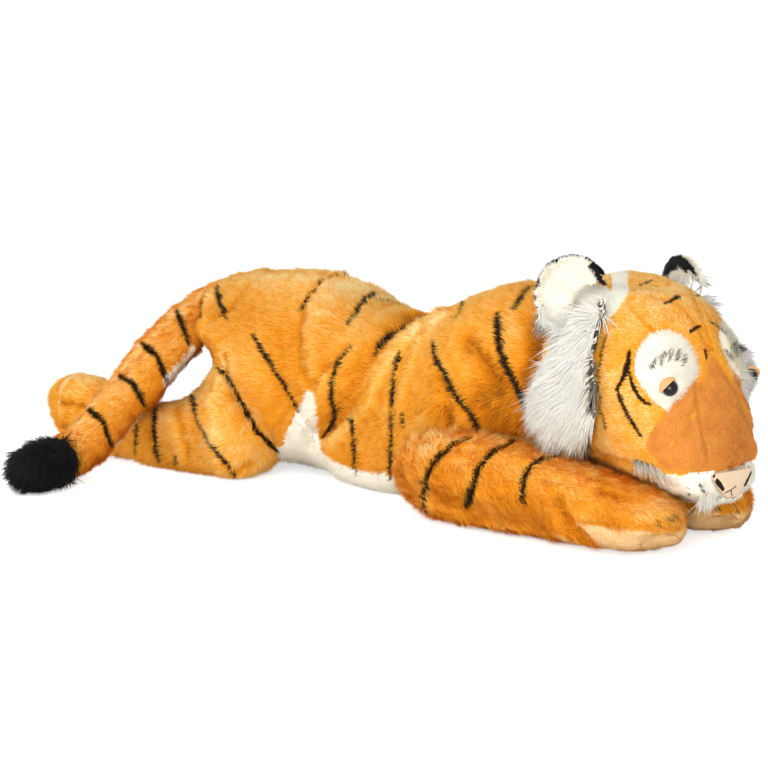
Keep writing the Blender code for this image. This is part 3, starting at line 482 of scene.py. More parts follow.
def pile_material(name, stops, roughness, sheen, sheen_tint):
    """Hair: its place on the ramp runs across its own map, and root to tip up it. Light comes through it."""
    material, shader = new_material(name, roughness, sheen, sheen_tint)
    nodes, links = material.node_tree.nodes, material.node_tree.links
    places = nodes.new("ShaderNodeUVMap")
    places.uv_map = "OFBake"
    split = nodes.new("ShaderNodeSeparateXYZ")
    rise = nodes.new("ShaderNodeMath")
    rise.operation = "MULTIPLY_ADD"
    rise.inputs[1].default_value = tip_gain
    rise.inputs[2].default_value = -tip_gain * tip_middle
    total = nodes.new("ShaderNodeMath")
    total.operation = "ADD"
    ramp = nodes.new("ShaderNodeValToRGB")
    fill_ramp(ramp, stops)
    links.new(places.outputs["UV"], split.inputs[0])
    links.new(split.outputs["Y"], rise.inputs[0])
    links.new(split.outputs["X"], total.inputs[0])
    links.new(rise.outputs[0], total.inputs[1])
    links.new(total.outputs[0], ramp.inputs["Fac"])
    links.new(ramp.outputs["Color"], shader.inputs["Base Color"])
    passed = nodes.new("ShaderNodeVectorMath")
    passed.operation = "SCALE"
    passed.inputs["Scale"].default_value = light_through
    behind = nodes.new("ShaderNodeBsdfTranslucent")
    both = nodes.new("ShaderNodeAddShader")
    links.new(ramp.outputs["Color"], passed.inputs[0])
    links.new(passed.outputs[0], behind.inputs["Color"])
    links.new(shader.outputs[0], both.inputs[0])
    links.new(behind.outputs[0], both.inputs[1])
    links.new(both.outputs[0], nodes["Material Output"].inputs["Surface"])
    return material


def backing_material(name, stops, roughness, sheen, sheen_tint, depth):
    """The cloth under the hair: the same ramp, from the shade kept at each point, with a knitted bump."""
    material, shader = new_material(name, roughness, sheen, sheen_tint)
    nodes, links = material.node_tree.nodes, material.node_tree.links
    shade = nodes.new("ShaderNodeAttribute")
    shade.attribute_name = "shade"
    place = nodes.new("ShaderNodeTexCoord")
    grain = nodes.new("ShaderNodeTexNoise")
    grain.inputs["Scale"].default_value = knit_scale
    grain.inputs["Detail"].default_value = knit_detail
    vary = nodes.new("ShaderNodeMath")
    vary.operation = "MULTIPLY_ADD"
    vary.inputs[1].default_value = knit_shading
    total = nodes.new("ShaderNodeMath")
    total.operation = "SUBTRACT"
    total.inputs[1].default_value = depth
    ramp = nodes.new("ShaderNodeValToRGB")
    fill_ramp(ramp, stops)
    bump = nodes.new("ShaderNodeBump")
    bump.inputs["Strength"].default_value = knit_strength
    bump.inputs["Distance"].default_value = knit_height
    links.new(place.outputs["Object"], grain.inputs["Vector"])
    links.new(grain.outputs["Fac"], vary.inputs[0])
    links.new(shade.outputs["Fac"], vary.inputs[2])
    links.new(vary.outputs[0], total.inputs[0])
    links.new(total.outputs[0], ramp.inputs["Fac"])
    links.new(ramp.outputs["Color"], shader.inputs["Base Color"])
    links.new(grain.outputs["Fac"], bump.inputs["Height"])
    links.new(bump.outputs["Normal"], shader.inputs["Normal"])
    return material


# Each cloth: its ramp, roughness, sheen and sheen tint
cloths = {
    "orange": (orange_ramp, 0.85, 0.06, (1.0, 0.75, 0.35)),
    "white": (white_ramp, 0.85, 0.06, (1.0, 1.0, 1.0)),
    "brown": (brown_ramp, 0.80, 0.12, (1.0, 0.70, 0.40)),
    "beige": (beige_ramp, 0.85, 0.08, (1.0, 0.85, 0.6)),
    "black": (black_ramp, 0.55, 0.05, (0.7, 0.7, 0.8)),
}
# The cloth under the pile: its place on the ramp, and how much deeper than that it is drawn
backing_shade = {"orange": 0.60, "white": 0.88, "brown": 0.55, "beige": 0.75, "black": 0.45}
backing_depth = {"orange": 0.14, "white": 0.0, "brown": 0.12, "beige": 0.05, "black": 0.10}
pile_of = {}
backing_of = {}
for cloth, (stops, rough, sheen, tint) in cloths.items():
    pile_of[cloth] = pile_material(cloth + "_pile", stops, rough, sheen, tint)
    backing_of[cloth] = backing_material(cloth + "_backing", stops, rough, sheen, tint, backing_depth[cloth])


def waves(points, size, seed, count=10):
    """Smooth swells of about a given size, mostly between -1 and 1, at each point."""
    source = np.random.default_rng(seed)
    total = np.zeros(len(points))
    for _ in range(count):
        way = source.normal(size=3)
        way *= math.tau / (size * source.uniform(0.7, 1.5) * np.linalg.norm(way))
        total += np.sin(points @ way + source.uniform(0.0, math.tau))
    return total / math.sqrt(count)


def lengths_of(vectors):
    return np.sqrt((vectors * vectors).sum(1))


def unit(vectors):
    return vectors / np.maximum(lengths_of(vectors), 1e-12)[:, None]


def smooth_step(values, low, high):
    share = np.clip((values - low) / (high - low), 0.0, 1.0)
    return share * share * (3.0 - 2.0 * share)


def distance_to_line(points, line):
    """The distance from each point to a line through some places."""
    best = np.full(len(points), 1e9)
    for start, end in zip(line, line[1:]):
        start, along = np.array(start), np.array(end) - np.array(start)
        share = np.clip(((points - start) @ along) / max(along @ along, 1e-12), 0.0, 1.0)
        best = np.minimum(best, lengths_of(points - start - share[:, None] * along))
    return best


def merged_nodes(name, nodes, balls=()):
    """One mesh of some CAD nodes and round ends, with the nodes' loose triangles joined."""
    mesh_data = bmesh.new()
    for middle, radius in balls:
        place = Matrix.Translation(middle)
        bmesh.ops.create_icosphere(mesh_data, subdivisions=3, radius=radius, matrix=place)
    for node in nodes:
        mesh_data.from_mesh(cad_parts[node].data)
    bmesh.ops.remove_doubles(mesh_data, verts=mesh_data.verts, dist=0.00001)
    mesh = bpy.data.meshes.new(name)
    mesh_data.to_mesh(mesh)
    mesh_data.free()
    piece = bpy.data.objects.new(name, mesh)
    bpy.context.scene.collection.objects.link(piece)
    return piece


def apply_modifiers(piece):
    shape = bpy.data.meshes.new_from_object(piece.evaluated_get(bpy.context.evaluated_depsgraph_get()))
    piece.modifiers.clear()
    old, piece.data = piece.data, shape
    shape.name = piece.name
    bpy.data.meshes.remove(old)


def keep_largest(piece):
    """Drops every island of a mesh but the one with the most faces."""
    mesh_data = bmesh.new()
    mesh_data.from_mesh(piece.data)
    left, groups = set(mesh_data.verts), []
    while left:
        group, border = [], [left.pop()]
        while border:
            vertex = border.pop()
            group.append(vertex)
            for edge in vertex.link_edges:
                other = edge.other_vert(vertex)
                if other in left:
                    left.discard(other)
                    border.append(other)
        groups.append(group)
    groups.sort(key=len)
    scraps = [vertex for group in groups[:-1] for vertex in group]
    bmesh.ops.delete(mesh_data, geom=scraps, context="VERTS")
    mesh_data.to_mesh(piece.data)
    mesh_data.free()


def points_of(mesh):
    points = np.empty(len(mesh.vertices) * 3)
    mesh.vertices.foreach_get("co", points)
    return points.reshape(-1, 3)


def normals_of(mesh):
    mesh.update()
    normals = np.empty(len(mesh.vertices) * 3)
    mesh.vertices.foreach_get("normal", normals)
    return normals.reshape(-1, 3)


def set_points(mesh, points):
    mesh.vertices.foreach_set("co", points.ravel())
    mesh.update()


def triangles_of(mesh):
    mesh.calc_loop_triangles()
    corners = np.empty(len(mesh.loop_triangles) * 3, dtype=np.int64)
    mesh.loop_triangles.foreach_get("vertices", corners)
    return corners.reshape(-1, 3)


def stuffed_form(name, nodes, voxel, rounds, inset, balls=()):
    """A smooth closed form in the space of some CAD nodes, a little inside it to leave room for the pile."""
    piece = merged_nodes(name, nodes, balls)
    remesh = piece.modifiers.new("remesh", "REMESH")
    remesh.mode = "VOXEL"
    remesh.voxel_size = voxel
    smooth = piece.modifiers.new("smooth", "SMOOTH")
    smooth.factor = 0.5
    smooth.iterations = rounds
    apply_modifiers(piece)
    keep_largest(piece)
    points = points_of(piece.data) - normals_of(piece.data) * inset
    set_points(piece.data, points)
    piece.data.shade_smooth()
    return piece


def tree_of(piece):
    return BVHTree.FromObject(piece, bpy.context.evaluated_depsgraph_get())


def seen_places(tree, pixels):
    """Where the camera's rays through a line of pixels meet a form."""
    places = []
    for start, end in zip(pixels, pixels[1:]):
        count = max(1, round(math.dist(start, end) / ray_step))
        for index in range(count + 1):
            share = index / count
            pixel = [a + (b - a) * share for a, b in zip(start, end)]
            place = tree.ray_cast(camera_place, camera_ray(pixel))[0]
            if place is not None:
                places.append(tuple(place))
    return places


def pixels_of(points):
    """Where the photograph shows each point."""
    away = points - np.array(camera_place)
    depth = -(away @ np.array(camera_back))
    across = away @ np.array(camera_right) / depth * focus_in_pixels + target_pixel[0]
    down = target_pixel[1] - away @ np.array(camera_up) / depth * focus_in_pixels
    return np.column_stack([across, down])


def mirrored(places):
    return [(x, -y, z) for x, y, z in places]


def lines_seen(piece, stripes, both_sides, strength=1.0):
    """The stripes of a form as lines on it, the hidden side's mirrored from the one that shows."""
    tree = tree_of(piece)
    lines = []
    for half_width, pixels in stripes:
        places = seen_places(tree, pixels)
        if len(places) > 1:
            lines.append((half_width * millimetre, places, strength))
        near_side = [place for place in places if place[1] < 0.0]
        if both_sides and len(near_side) > 1:
            lines.append((half_width * millimetre, mirrored(near_side), strength))
    return lines


def near_line(points, line, reach):
    """Which points lie in the box round a line, with a reach to spare."""
    line = np.array(line)
    low, high = line.min(0) - reach, line.max(0) + reach
    return np.flatnonzero(((points > low) & (points < high)).all(1))


def stripe_mask(points, lines):
    """How much each point belongs to a stripe, soft at the edges and narrowing to each end."""
    mask = np.zeros(len(points))
    for half_width, line, strength in lines:
        near = near_line(points, line, half_width * 3.0)
        if not len(near):
            continue
        places = points[near]
        ends = np.array([line[0], line[-1]])
        near_end = np.minimum(lengths_of(places - ends[0]), lengths_of(places - ends[1]))
        taper = smooth_step(near_end, 0.0, stripe_taper)
        width = half_width * (stripe_end_share + stripe_middle_share * taper)
        width = width * (1.0 + stripe_waver * waves(places, 0.011, 5))
        away = distance_to_line(places, line)
        cover = 1.0 - smooth_step(away, width * stripe_edge[0], width * stripe_edge[1] + stripe_fringe)
        mask[near] = np.maximum(mask[near], cover * strength)
    return mask


def hollow_mask(points, hollows):
    """How deep each point lies in the folds, from 0 to 1; a fold is a half width and a line."""
    mask = np.zeros(len(points))
    for half_width, line in hollows:
        near = near_line(points, line, half_width * 2.5)
        if len(near):
            away = distance_to_line(points[near], line)
            mask[near] = np.maximum(mask[near], np.exp(-(away / half_width) ** 2))
    return mask


def roots_on(mesh, fields, spacing, keep, seed):
    """Hair roots spread evenly over a form, with its normals and point fields read there."""
    source = np.random.default_rng(seed)
    points, normals, corners = points_of(mesh), normals_of(mesh), triangles_of(mesh)
    corners = corners[keep[corners].all(1)]
    first, second, third = (points[corners[:, index]] for index in range(3))
    areas = lengths_of(np.cross(second - first, third - first)) / 2
    count = int(areas.sum() / spacing ** 2)
    stops = np.cumsum(areas) / areas.sum()
    chosen = np.searchsorted(stops, (np.arange(count) + source.uniform(0.0, 1.0, count)) / count)
    chosen = np.minimum(chosen, len(corners) - 1)
    shares = source.uniform(0.0, 1.0, (count, 2))
    over = shares.sum(1) > 1.0
    shares[over] = 1.0 - shares[over]
    weights = np.column_stack([1.0 - shares.sum(1), shares])

    def read(values):
        picked = values[corners[chosen]]
        return np.einsum("ij,ij...->i...", weights, picked)

    return read(points), unit(read(normals)), {name: read(values) for name, values in fields.items()}


def triangle_mesh(name, places, corners):
    mesh = bpy.data.meshes.new(name)
    mesh.vertices.add(len(places))
    mesh.vertices.foreach_set("co", places.ravel())
    mesh.loops.add(corners.size)
    mesh.loops.foreach_set("vertex_index", corners.ravel())
    mesh.polygons.add(len(corners))
    mesh.polygons.foreach_set("loop_start", np.arange(len(corners)) * 3)
    mesh.polygons.foreach_set("use_smooth", np.ones(len(corners), dtype=bool))
    mesh.update(calc_edges=True)
    return mesh


def hair_mesh(name, roots, normals, ways, lengths, radii, shades, bend, seed):
    """Tapered hairs: straight ones are flat blades, bent ones three-sided spikes with a middle joint."""
    source = np.random.default_rng(seed)
    count = len(roots)
    # A little scatter gives a hair that stands straight up a side too
    helper = unit(np.cross(ways, normals) + source.normal(scale=0.01, size=(count, 3)))
    upper = unit(np.cross(helper, ways))
    if bend is None:
        bend = 0.0
        roll = source.normal(scale=blade_roll, size=count)[:, None]
        helper = helper * np.cos(roll) + upper * np.sin(roll)
        arounds, levels, edges = [-helper, helper], (0.0,), [(0, 1)]
    else:
        turns = [math.tau * index / 3 + math.pi / 2 for index in range(3)]
        arounds = [helper * math.cos(turn) + upper * math.sin(turn) for turn in turns]
        levels, edges = (0.0, 0.5), [(1, 0), (2, 1), (0, 2)]

    blocks, block_normals, rises = [], [], []
    for level in levels:
        centre = roots + ways * (lengths * level)[:, None] + bend * level ** 2
        for around in arounds:
            place = centre + around * (radii * (1.0 - hair_thinning * level))[:, None]
            place[:, 2] = np.maximum(place[:, 2], root_clearance)
            blocks.append(place)
            block_normals.append(unit(normals + around * side_turn))
            rises.append(np.full(count, level))
    tips = roots + ways * lengths[:, None] + bend
    tips[:, 2] = np.maximum(tips[:, 2], tip_clearance)
    blocks.append(tips)
    block_normals.append(unit(normals * tip_cloth_share + ways * tip_hair_share))
    rises.append(np.ones(count))
    places = np.stack(blocks, 1).reshape(-1, 3)

    sides = len(arounds)
    last_ring = sides * (len(levels) - 1)
    faces = []
    for ring in range(0, last_ring, sides):
        for first, second in edges:
            faces += [(ring + first, ring + second, ring + sides + first),
                      (ring + sides + first, ring + second, ring + sides + second)]
    faces += [(last_ring + first, last_ring + second, last_ring + sides) for first, second in edges]
    starts = np.arange(count) * len(blocks)
    corners = (np.array(faces)[None] + starts[:, None, None]).reshape(-1, 3)
    mesh = triangle_mesh(name, places, corners)

    spread = np.linspace(-colour_spread, colour_spread, sides)
    spread = np.array(list(spread) * len(levels) + [0.0])
    across = np.clip(shades, *ramp_range)[:, None] + spread[None]
    layer = mesh.uv_layers.new(name="OFBake")
    flat = np.column_stack([across.ravel(), np.stack(rises, 1).ravel()])[corners.ravel()]
    layer.uv.foreach_set("vector", flat.ravel())
    shading = np.stack(block_normals, 1) + source.normal(scale=shading_scatter, size=(count, 1, 3))
    mesh.normals_split_custom_set_from_vertices(unit(shading.reshape(-1, 3)))
    return mesh


def swept(normals, flow, lean, points, roughness, seed):
    """Hair directions: leaning from the normal towards a flow, ruffled by small swells."""
    source = np.random.default_rng(seed)
    flow = flow + roughness * np.column_stack([waves(points, 0.016, seed + index) for index in range(3)])
    flow = flow - normals * (flow * normals).sum(1)[:, None]
    flow = unit(flow)
    lean = lean * (1.0 + lean_swell * waves(points, 0.010, seed + 7))
    lean = np.clip(lean + source.normal(scale=lean_scatter, size=len(points)), *lean_range)
    side = np.cross(normals, flow) * source.normal(scale=side_scatter, size=len(points))[:, None]
    return unit(normals * np.cos(lean)[:, None] + flow * np.sin(lean)[:, None] + side)


def hair_piece(name, body, cloth, mesh, nodes):
    piece = bpy.data.objects.new(name, mesh)
    bpy.context.scene.collection.objects.link(piece)
    mesh.materials.append(pile_of[cloth])
    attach(piece, body)
    if nodes:
        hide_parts(*nodes)


def box_of(piece):
    points = points_of(piece.data)
    return points.min(0), points.max(0)


def keep_shades(mesh, shades):
    """Keeps each point's place on the ramp for the cloth's material."""
    mesh.attributes.new("shade", "FLOAT", "POINT").data.foreach_set("value", shades)


def node_tree(node):
    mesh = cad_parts[node].data
    corners = triangles_of(mesh)
    return BVHTree.FromPolygons(points_of(mesh).tolist(), corners.tolist())


class Form:
    """A stuffed form, with the panels, stripes, folds and painted light and shade that its pile grows by."""

    def __init__(self, name, body, nodes, panels, voxel, rounds, inset, filling, balls=()):
        self.name, self.body = name, body
        self.panels = panels
        self.skin = stuffed_form(name, nodes, voxel, rounds, inset, balls)
        trees = [node_tree(node) for node in panels]
        points = points_of(self.skin.data)
        self.away = np.array([[tree.find_nearest(point)[3] for tree in trees] for point in points.tolist()])
        self.stripes, self.hollows, self.strips, self.painted_light = [], [], [], []
        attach(self.skin, body)
        self.sew()

    def sew(self):
        """Pulls the form in along the seams between its panels."""
        self.seams = np.zeros(len(self.away))
        if len(self.panels) < 2:
            return
        nearest = np.sort(self.away, axis=1)
        self.seams = np.exp(-((nearest[:, 1] - nearest[:, 0]) / seam_width) ** 2)
        points, normals = points_of(self.skin.data), normals_of(self.skin.data)
        set_points(self.skin.data, points - normals * (self.seams * seam_depth)[:, None])

    def mark(self, stripes, both_sides=True, strength=1.0):
        """Keeps stripes for the pile to draw, with the share of its hairs that take their colour."""
        self.stripes += lines_seen(self.skin, stripes, both_sides, strength)

    def tint(self, painted_light, both_sides=True):
        """Keeps stretches of painted light and shade: paler or deeper pile."""
        for half_width, step, pixels in painted_light:
            for half, line, _ in lines_seen(self.skin, [(half_width, pixels)], both_sides):
                self.painted_light.append((half, step, line))

    def painted_light_at(self, points):
        """How far the painted light and shade move each point along its ramp."""
        total = np.zeros(len(points))
        for half_width, step, line in self.painted_light:
            total += step * hollow_mask(points, [(half_width, line)])
        return total

    def set_strip(self, panel, half_width, pixels, both_sides=True):
        """Lets a strip of the form belong to another panel."""
        line = seen_places(tree_of(self.skin), pixels)
        if len(line) > 1:
            self.strips.append((panel, half_width, line))
            if both_sides:
                self.strips.append((panel, half_width, mirrored(line)))

    def panels_at(self, points, away):
        """Which panel each point belongs to."""
        nearest = np.argmin(away, axis=1)
        for panel, half_width, line in self.strips:
            near = near_line(points, line, half_width)
            nearest[near[distance_to_line(points[near], line) < half_width]] = panel
        return nearest

    def fold(self, folds, both_sides=True):
        """Presses folds into the form."""
        tree = tree_of(self.skin)
        pressed = []
        for half_width, depth, pixels in folds:
            places = seen_places(tree, pixels)
            if len(places) < 2:
                continue
            pressed.append((half_width * millimetre, depth * millimetre, places))
            if both_sides:
                pressed.append((half_width * millimetre, depth * millimetre, mirrored(places)))
        points, normals = points_of(self.skin.data), normals_of(self.skin.data)
        press = np.zeros(len(points))
        for half_width, depth, line in pressed:
            press += hollow_mask(points, [(half_width, line)]) * depth
            # A narrow fold that sinks in is kept as a hollow, where the pile and the cloth under it get
            # painted shade
            if half_width < wide_fold and depth > 0.0:
                self.hollows.append((half_width, line))
        set_points(self.skin.data, points - normals * press[:, None])

    def pull(self, pulls):
        """Draws the form's right side along."""
        for reach, way, pixels in pulls:
            points = points_of(self.skin.data)
            share = np.exp(-(distance_to_line(pixels_of(points), pixels) / reach) ** 2)
            share *= 1.0 - smooth_step(points[:, 1], -0.02, 0.02)
            set_points(self.skin.data, points + share[:, None] * np.array(way))

    def cover(self, cloths_of_panels):
        """Gives the cloth under the pile its colour, panel by panel."""
        mesh = self.skin.data
        names = sorted(set(cloths_of_panels))
        for cloth in names:
            mesh.materials.append(backing_of[cloth])
        nearest = self.panels_at(points_of(mesh), self.away)
        corners = np.empty(len(mesh.loops), dtype=np.int64)
        mesh.loops.foreach_get("vertex_index", corners)
        starts = np.empty(len(mesh.polygons), dtype=np.int64)
        mesh.polygons.foreach_get("loop_start", starts)
        panel = nearest[corners[starts]]
        table = np.array([names.index(cloth) for cloth in cloths_of_panels])
        mesh.polygons.foreach_set("material_index", table[panel].astype(np.int32))
        points = points_of(mesh)
        base = np.array([backing_shade[cloth] for cloth in cloths_of_panels])[nearest]
        # Painted shade in the narrow folds, and the painted light and shade of the stretches kept by tint
        base = base - backing_fold_painted_shade * hollow_mask(points, self.hollows) + self.painted_light_at(points)
        keep_shades(mesh, base * (1.0 - backing_stripe_share * stripe_mask(points, self.stripes)))

    def spread_roots(self, others, spacing, seed):
        """Scatters the roots, and leaves out those inside the other forms."""
        points = points_of(self.skin.data)
        hidden = np.zeros(len(points), dtype=bool)
        for other in others:
            tree = tree_of(other.skin)
            low, high = box_of(other.skin)
            near = ((points > low - 0.001) & (points < high + 0.001)).all(1)
            for index in np.flatnonzero(near):
                point = points[index].tolist()
                normal = tree.ray_cast(point, upwards)[1]
                inside = normal is not None and normal.z > 0.0
                hidden[index] |= inside and tree.find_nearest(point)[3] > hidden_depth
        fields = {"away": self.away, "seams": self.seams}
        self.roots, self.normals, self.fields = roots_on(self.skin.data, fields, spacing, ~hidden, seed)
        self.panel = self.panels_at(self.roots, self.fields["away"])


def shade_of(form, points, tips, normals, seams, base, seed, grain):
    """A hair's place on its cloth's ramp: paler where it faces up as painted top light, deeper along seams and
    in folds as painted shade, black in a stripe.
    """
    source = np.random.default_rng(seed)
    # Painted top light: a hair that faces up is drawn paler, one that faces down deeper
    shades = base + painted_top_light * smooth_step(normals[:, 2], -0.1, 1.0) - painted_top_light / 2
    shades = shades + shade_swell * waves(points, 0.045, seed)
    shades = shades + 0.6 * shade_swell * waves(points, 0.012, seed + 1)
    # Painted shade: hairs along seams and in narrow folds are drawn deeper; the painted light and shade of the
    # form's stretches make others paler or deeper
    shades = shades + source.normal(scale=grain, size=len(points)) - seam_painted_shade * seams
    shades = shades - fold_painted_shade * hollow_mask(points, form.hollows) + form.painted_light_at(points)
    stripes = np.maximum(stripe_mask(points, form.stripes), stripe_mask(tips, form.stripes))
    striped = source.uniform(0.0, 1.0, len(points)) < stripes
    stripe_shades = stripe_shade + source.uniform(*stripe_variation, len(points))
    return np.where(striped, stripe_shades, np.maximum(shades, deepest_shade))


def pile(form, name, cloth, panel, where, flow, base, seed, nodes=(), *, length, radius, lean, keep_share=1.0,
         ruffle=0.3, long_hair=False, droop=0.0, clump=0.0, pull=0.55, grain=0.035):
    """Grows one piece of pile from those of a form's roots that belong to a panel and a part of it."""
    source = np.random.default_rng(seed)
    chosen = np.isin(form.panel, panel) & where(form.roots)
    chosen &= source.uniform(0.0, 1.0, len(chosen)) < keep_share
    roots, normals, seams = form.roots[chosen], form.normals[chosen], form.fields["seams"][chosen]
    ways = swept(normals, flow(roots, normals), lean, roots, ruffle, seed)
    sizes = length * (1.0 + length_swell * waves(roots, 0.014, seed + 3))
    sizes = sizes * source.uniform(*length_range, len(roots)) * (1.0 - seam_trim * seams)
    sideways = ways - normals * (ways * normals).sum(1)[:, None]
    shown, tips = (roots + sideways * (sizes * share)[:, None] for share in (shade_share, stripe_share))
    shades = shade_of(form, shown, tips, normals, seams, base, seed, grain)
    if clump:
        tufts, groups = tufts_of(roots, clump, seed)
        ways = unit(ways + (tufts - roots) / sizes[:, None] * pull)
        own = source.normal(scale=1.0, size=groups.max() + 1)[groups]
        sizes = sizes * (1.0 + tuft_length_step * np.clip(own, -tuft_step_limit, tuft_step_limit))
        shades = np.where(shades > striped_below, shades + tuft_shade_step * own, shades)
    bend = None
    if long_hair:
        bend = np.array([0.0, 0.0, -droop]) * sizes[:, None]
        bend = bend + source.normal(scale=bend_scatter, size=(len(roots), 3)) * sizes[:, None]
    radii = radius * source.uniform(*radius_range, len(roots))
    starts = roots - normals * root_depth
    mesh = hair_mesh(name, starts, normals, ways, sizes, radii, shades, bend, seed)
    hair_piece(name, form.body, cloth, mesh, nodes)


def tufts_of(roots, size, seed):
    """The middle of the tuft that each root belongs to, and the tuft's number."""
    drift = np.column_stack([waves(roots, size * 3.0, seed + index) for index in range(3)])
    keys = np.floor((roots + size * 0.35 * drift) / size).astype(np.int64)
    _, groups = np.unique(keys, axis=0, return_inverse=True)
    groups = groups.ravel()
    sums = np.zeros((groups.max() + 1, 3))
    np.add.at(sums, groups, roots)
    return (sums / np.bincount(groups)[:, None])[groups], groups


def everywhere(points):
    return np.ones(len(points), dtype=bool)


def flow_along(way):
    """A flow that runs the same way all over."""
    def flow(points, normals):
        return np.tile(np.array(way), (len(points), 1))
    return flow


backwards = flow_along((-1.0, 0.0, -0.45))
down_the_tail = flow_along((0.296, -0.955, -0.25))
to_the_paw = flow_along((0.9, 0.0, -0.5))
to_the_elbow = flow_along((-0.3, -0.3, 0.9))
up_the_bridge = flow_along((-0.5, 0.0, 0.9))


def over_the_head(points, normals):
    sides = np.sign(points[:, 1]) * smooth_step(abs(points[:, 1]), 0.0, 0.04)
    return np.column_stack([np.full(len(points), -1.0), sides * 0.2, np.full(len(points), -0.25)])


def down_the_face(points, normals):
    sides = np.sign(points[:, 1])
    return np.column_stack([np.full(len(points), -0.4), sides * 0.5, np.full(len(points), -0.7)])


def away_from(centre):
    """A flow that runs outwards from a place."""
    def flow(points, normals):
        return unit(points - np.array(centre))
    return flow


# Forms

side_of = {"right": -1.0, "left": 1.0}


def leg_form(part, word, voxel, inset):
    """A leg's form, of its cover and sole over its filling."""
    panels = (part + "_cover_" + word, part + "_sole_" + word)
    return Form(part + "_skin_" + word, part + "_" + word, (*panels, part + "_stuffing_" + word), panels,
                voxel=voxel, rounds=8, inset=inset, filling=0.9)


torso = Form("torso_skin", "torso", ("torso_cover", "belly_panel", "torso_stuffing"),
             ("torso_cover", "belly_panel"), voxel=0.0036, rounds=10, inset=0.0030, filling=0.9)
hindlegs, forelegs, ears, ruffs = {}, {}, {}, {}
for word in side_of:
    hindlegs[word] = leg_form("hindleg", word, voxel=0.0030, inset=0.0030)
    forelegs[word] = leg_form("foreleg", word, voxel=0.0028, inset=0.0035)
    ear_panels = ("ear_front_" + word, "ear_back_" + word)
    ears[word] = Form("ear_skin_" + word, "ear_" + word, ear_panels, ear_panels,
                      voxel=0.0014, rounds=6, inset=0.0010, filling=0.6)
    ruff_panels = ("cheek_ruff_" + word,)
    ruffs[word] = Form("ruff_skin_" + word, "head", ruff_panels, ruff_panels,
                       voxel=0.0030, rounds=6, inset=0.0045, filling=0.6)
tail = Form("tail_skin", "tail", ("tail_cover", "tail_underside", "tail_stuffing"),
            ("tail_cover", "tail_underside"), voxel=0.0030, rounds=8, inset=0.0030, filling=0.9,
            balls=tail_root_balls)
tail_end = Form("tail_tip_skin", "tail", ("tail_tip",), ("tail_tip",),
                voxel=0.0030, rounds=6, inset=0.0060, filling=0.8)
head_panels = ("head_cover", "muzzle_bridge", "lip_right", "lip_left", "chin_panel",
               "eye_patch_right", "eye_patch_left", "nose_pad")
head = Form("head_skin", "head", head_panels[:-1] + ("head_stuffing",), head_panels,
            voxel=0.0020, rounds=6, inset=0.0018, filling=1.0)

# The head fills out under the nose pad
near_nose = 1.0 - smooth_step(head.away[:, head_panels.index("nose_pad")], 0.001, 0.006)
raised = points_of(head.skin.data) + normals_of(head.skin.data) * (near_nose * nose_rise)[:, None]
set_points(head.skin.data, raised)

torso.fold(torso_folds)
torso.pull(haunch_pulls)
hindlegs["right"].pull(haunch_pulls)
hindlegs["right"].fold(hindleg_folds, False)
forelegs["right"].fold(foreleg_folds, False)
forelegs["left"].fold(left_foreleg_folds, False)
tail.fold(tail_folds, False)
head.fold(far_cheek_folds, False)
head.fold(crown_folds, False)
head.fold(head_folds)
torso.mark(torso_stripes)
torso.tint(torso_painted_light)
hindlegs["right"].tint(hindleg_painted_light, False)
forelegs["right"].tint(foreleg_painted_light, False)
tail.tint(tail_painted_light, False)
for pair in (hindlegs, forelegs):
    pair["left"].painted_light += [(half, step, mirrored(line)) for half, step, line in pair["right"].painted_light]
hindlegs["right"].set_strip(0, *paw_rim, False)


def trim_patches(form):
    """Gives the lower outer corner of each eye patch back to the cheek: the patch counts as far away there."""
    far_away = 1.0
    edge = seen_places(tree_of(form.skin), patch_edge)
    depth = np.array([abs(y) for _, y, _ in edge])[::-1]
    height = np.array([z for _, _, z in edge])[::-1]
    for places, away in ((points_of(form.skin.data), form.away), (form.roots, form.fields["away"])):
        limit = np.interp(abs(places[:, 1]), depth, height)
        below = (places[:, 2] < limit) & (abs(places[:, 1]) > depth[0])
        for word in ("right", "left"):
            away[below, head_panels.index("eye_patch_" + word)] = far_away
    form.panel = form.panels_at(form.roots, form.fields["away"])


def mark_leg(pair, stripes):
    """Marks the leg that shows with its stripes, and its hidden partner with the same ones mirrored."""
    pair["right"].mark(stripes, False)
    for half_width, line, strength in pair["right"].stripes:
        pair["left"].stripes.append((half_width, mirrored(line), strength))


mark_leg(hindlegs, hindleg_stripes)
mark_leg(forelegs, foreleg_stripes)
forelegs["right"].mark(right_toe_marks, False)
forelegs["left"].mark(left_toe_marks, False)
tail.mark(tail_stripes, False)
head.mark(cheek_stripes)
head.mark(forehead_marks, False)
head.mark(brow_marks, True, 0.5)
head.mark(lip_dots)

torso.set_strip(0, *flank_edge, False)
for belly_peak in belly_peaks:
    torso.set_strip(1, *belly_peak, False)
forelegs["right"].set_strip(0, *sole_end, False)
tail.set_strip(1, *tail_white, False)
ears["right"].set_strip(0, *ear_heel, False)
ears["right"].set_strip(1, *ear_rim, False)
white_panel = head_panels.index("eye_patch_right")
head.set_strip(white_panel, *ear_root, False)
head.set_strip(white_panel, *ear_foot)
head.set_strip(head_panels.index("muzzle_bridge"), *bridge_edge)
head.set_strip(head_panels.index("lip_right"), *lip_edge)
head.mark(ruff_streaks, True, 0.6)

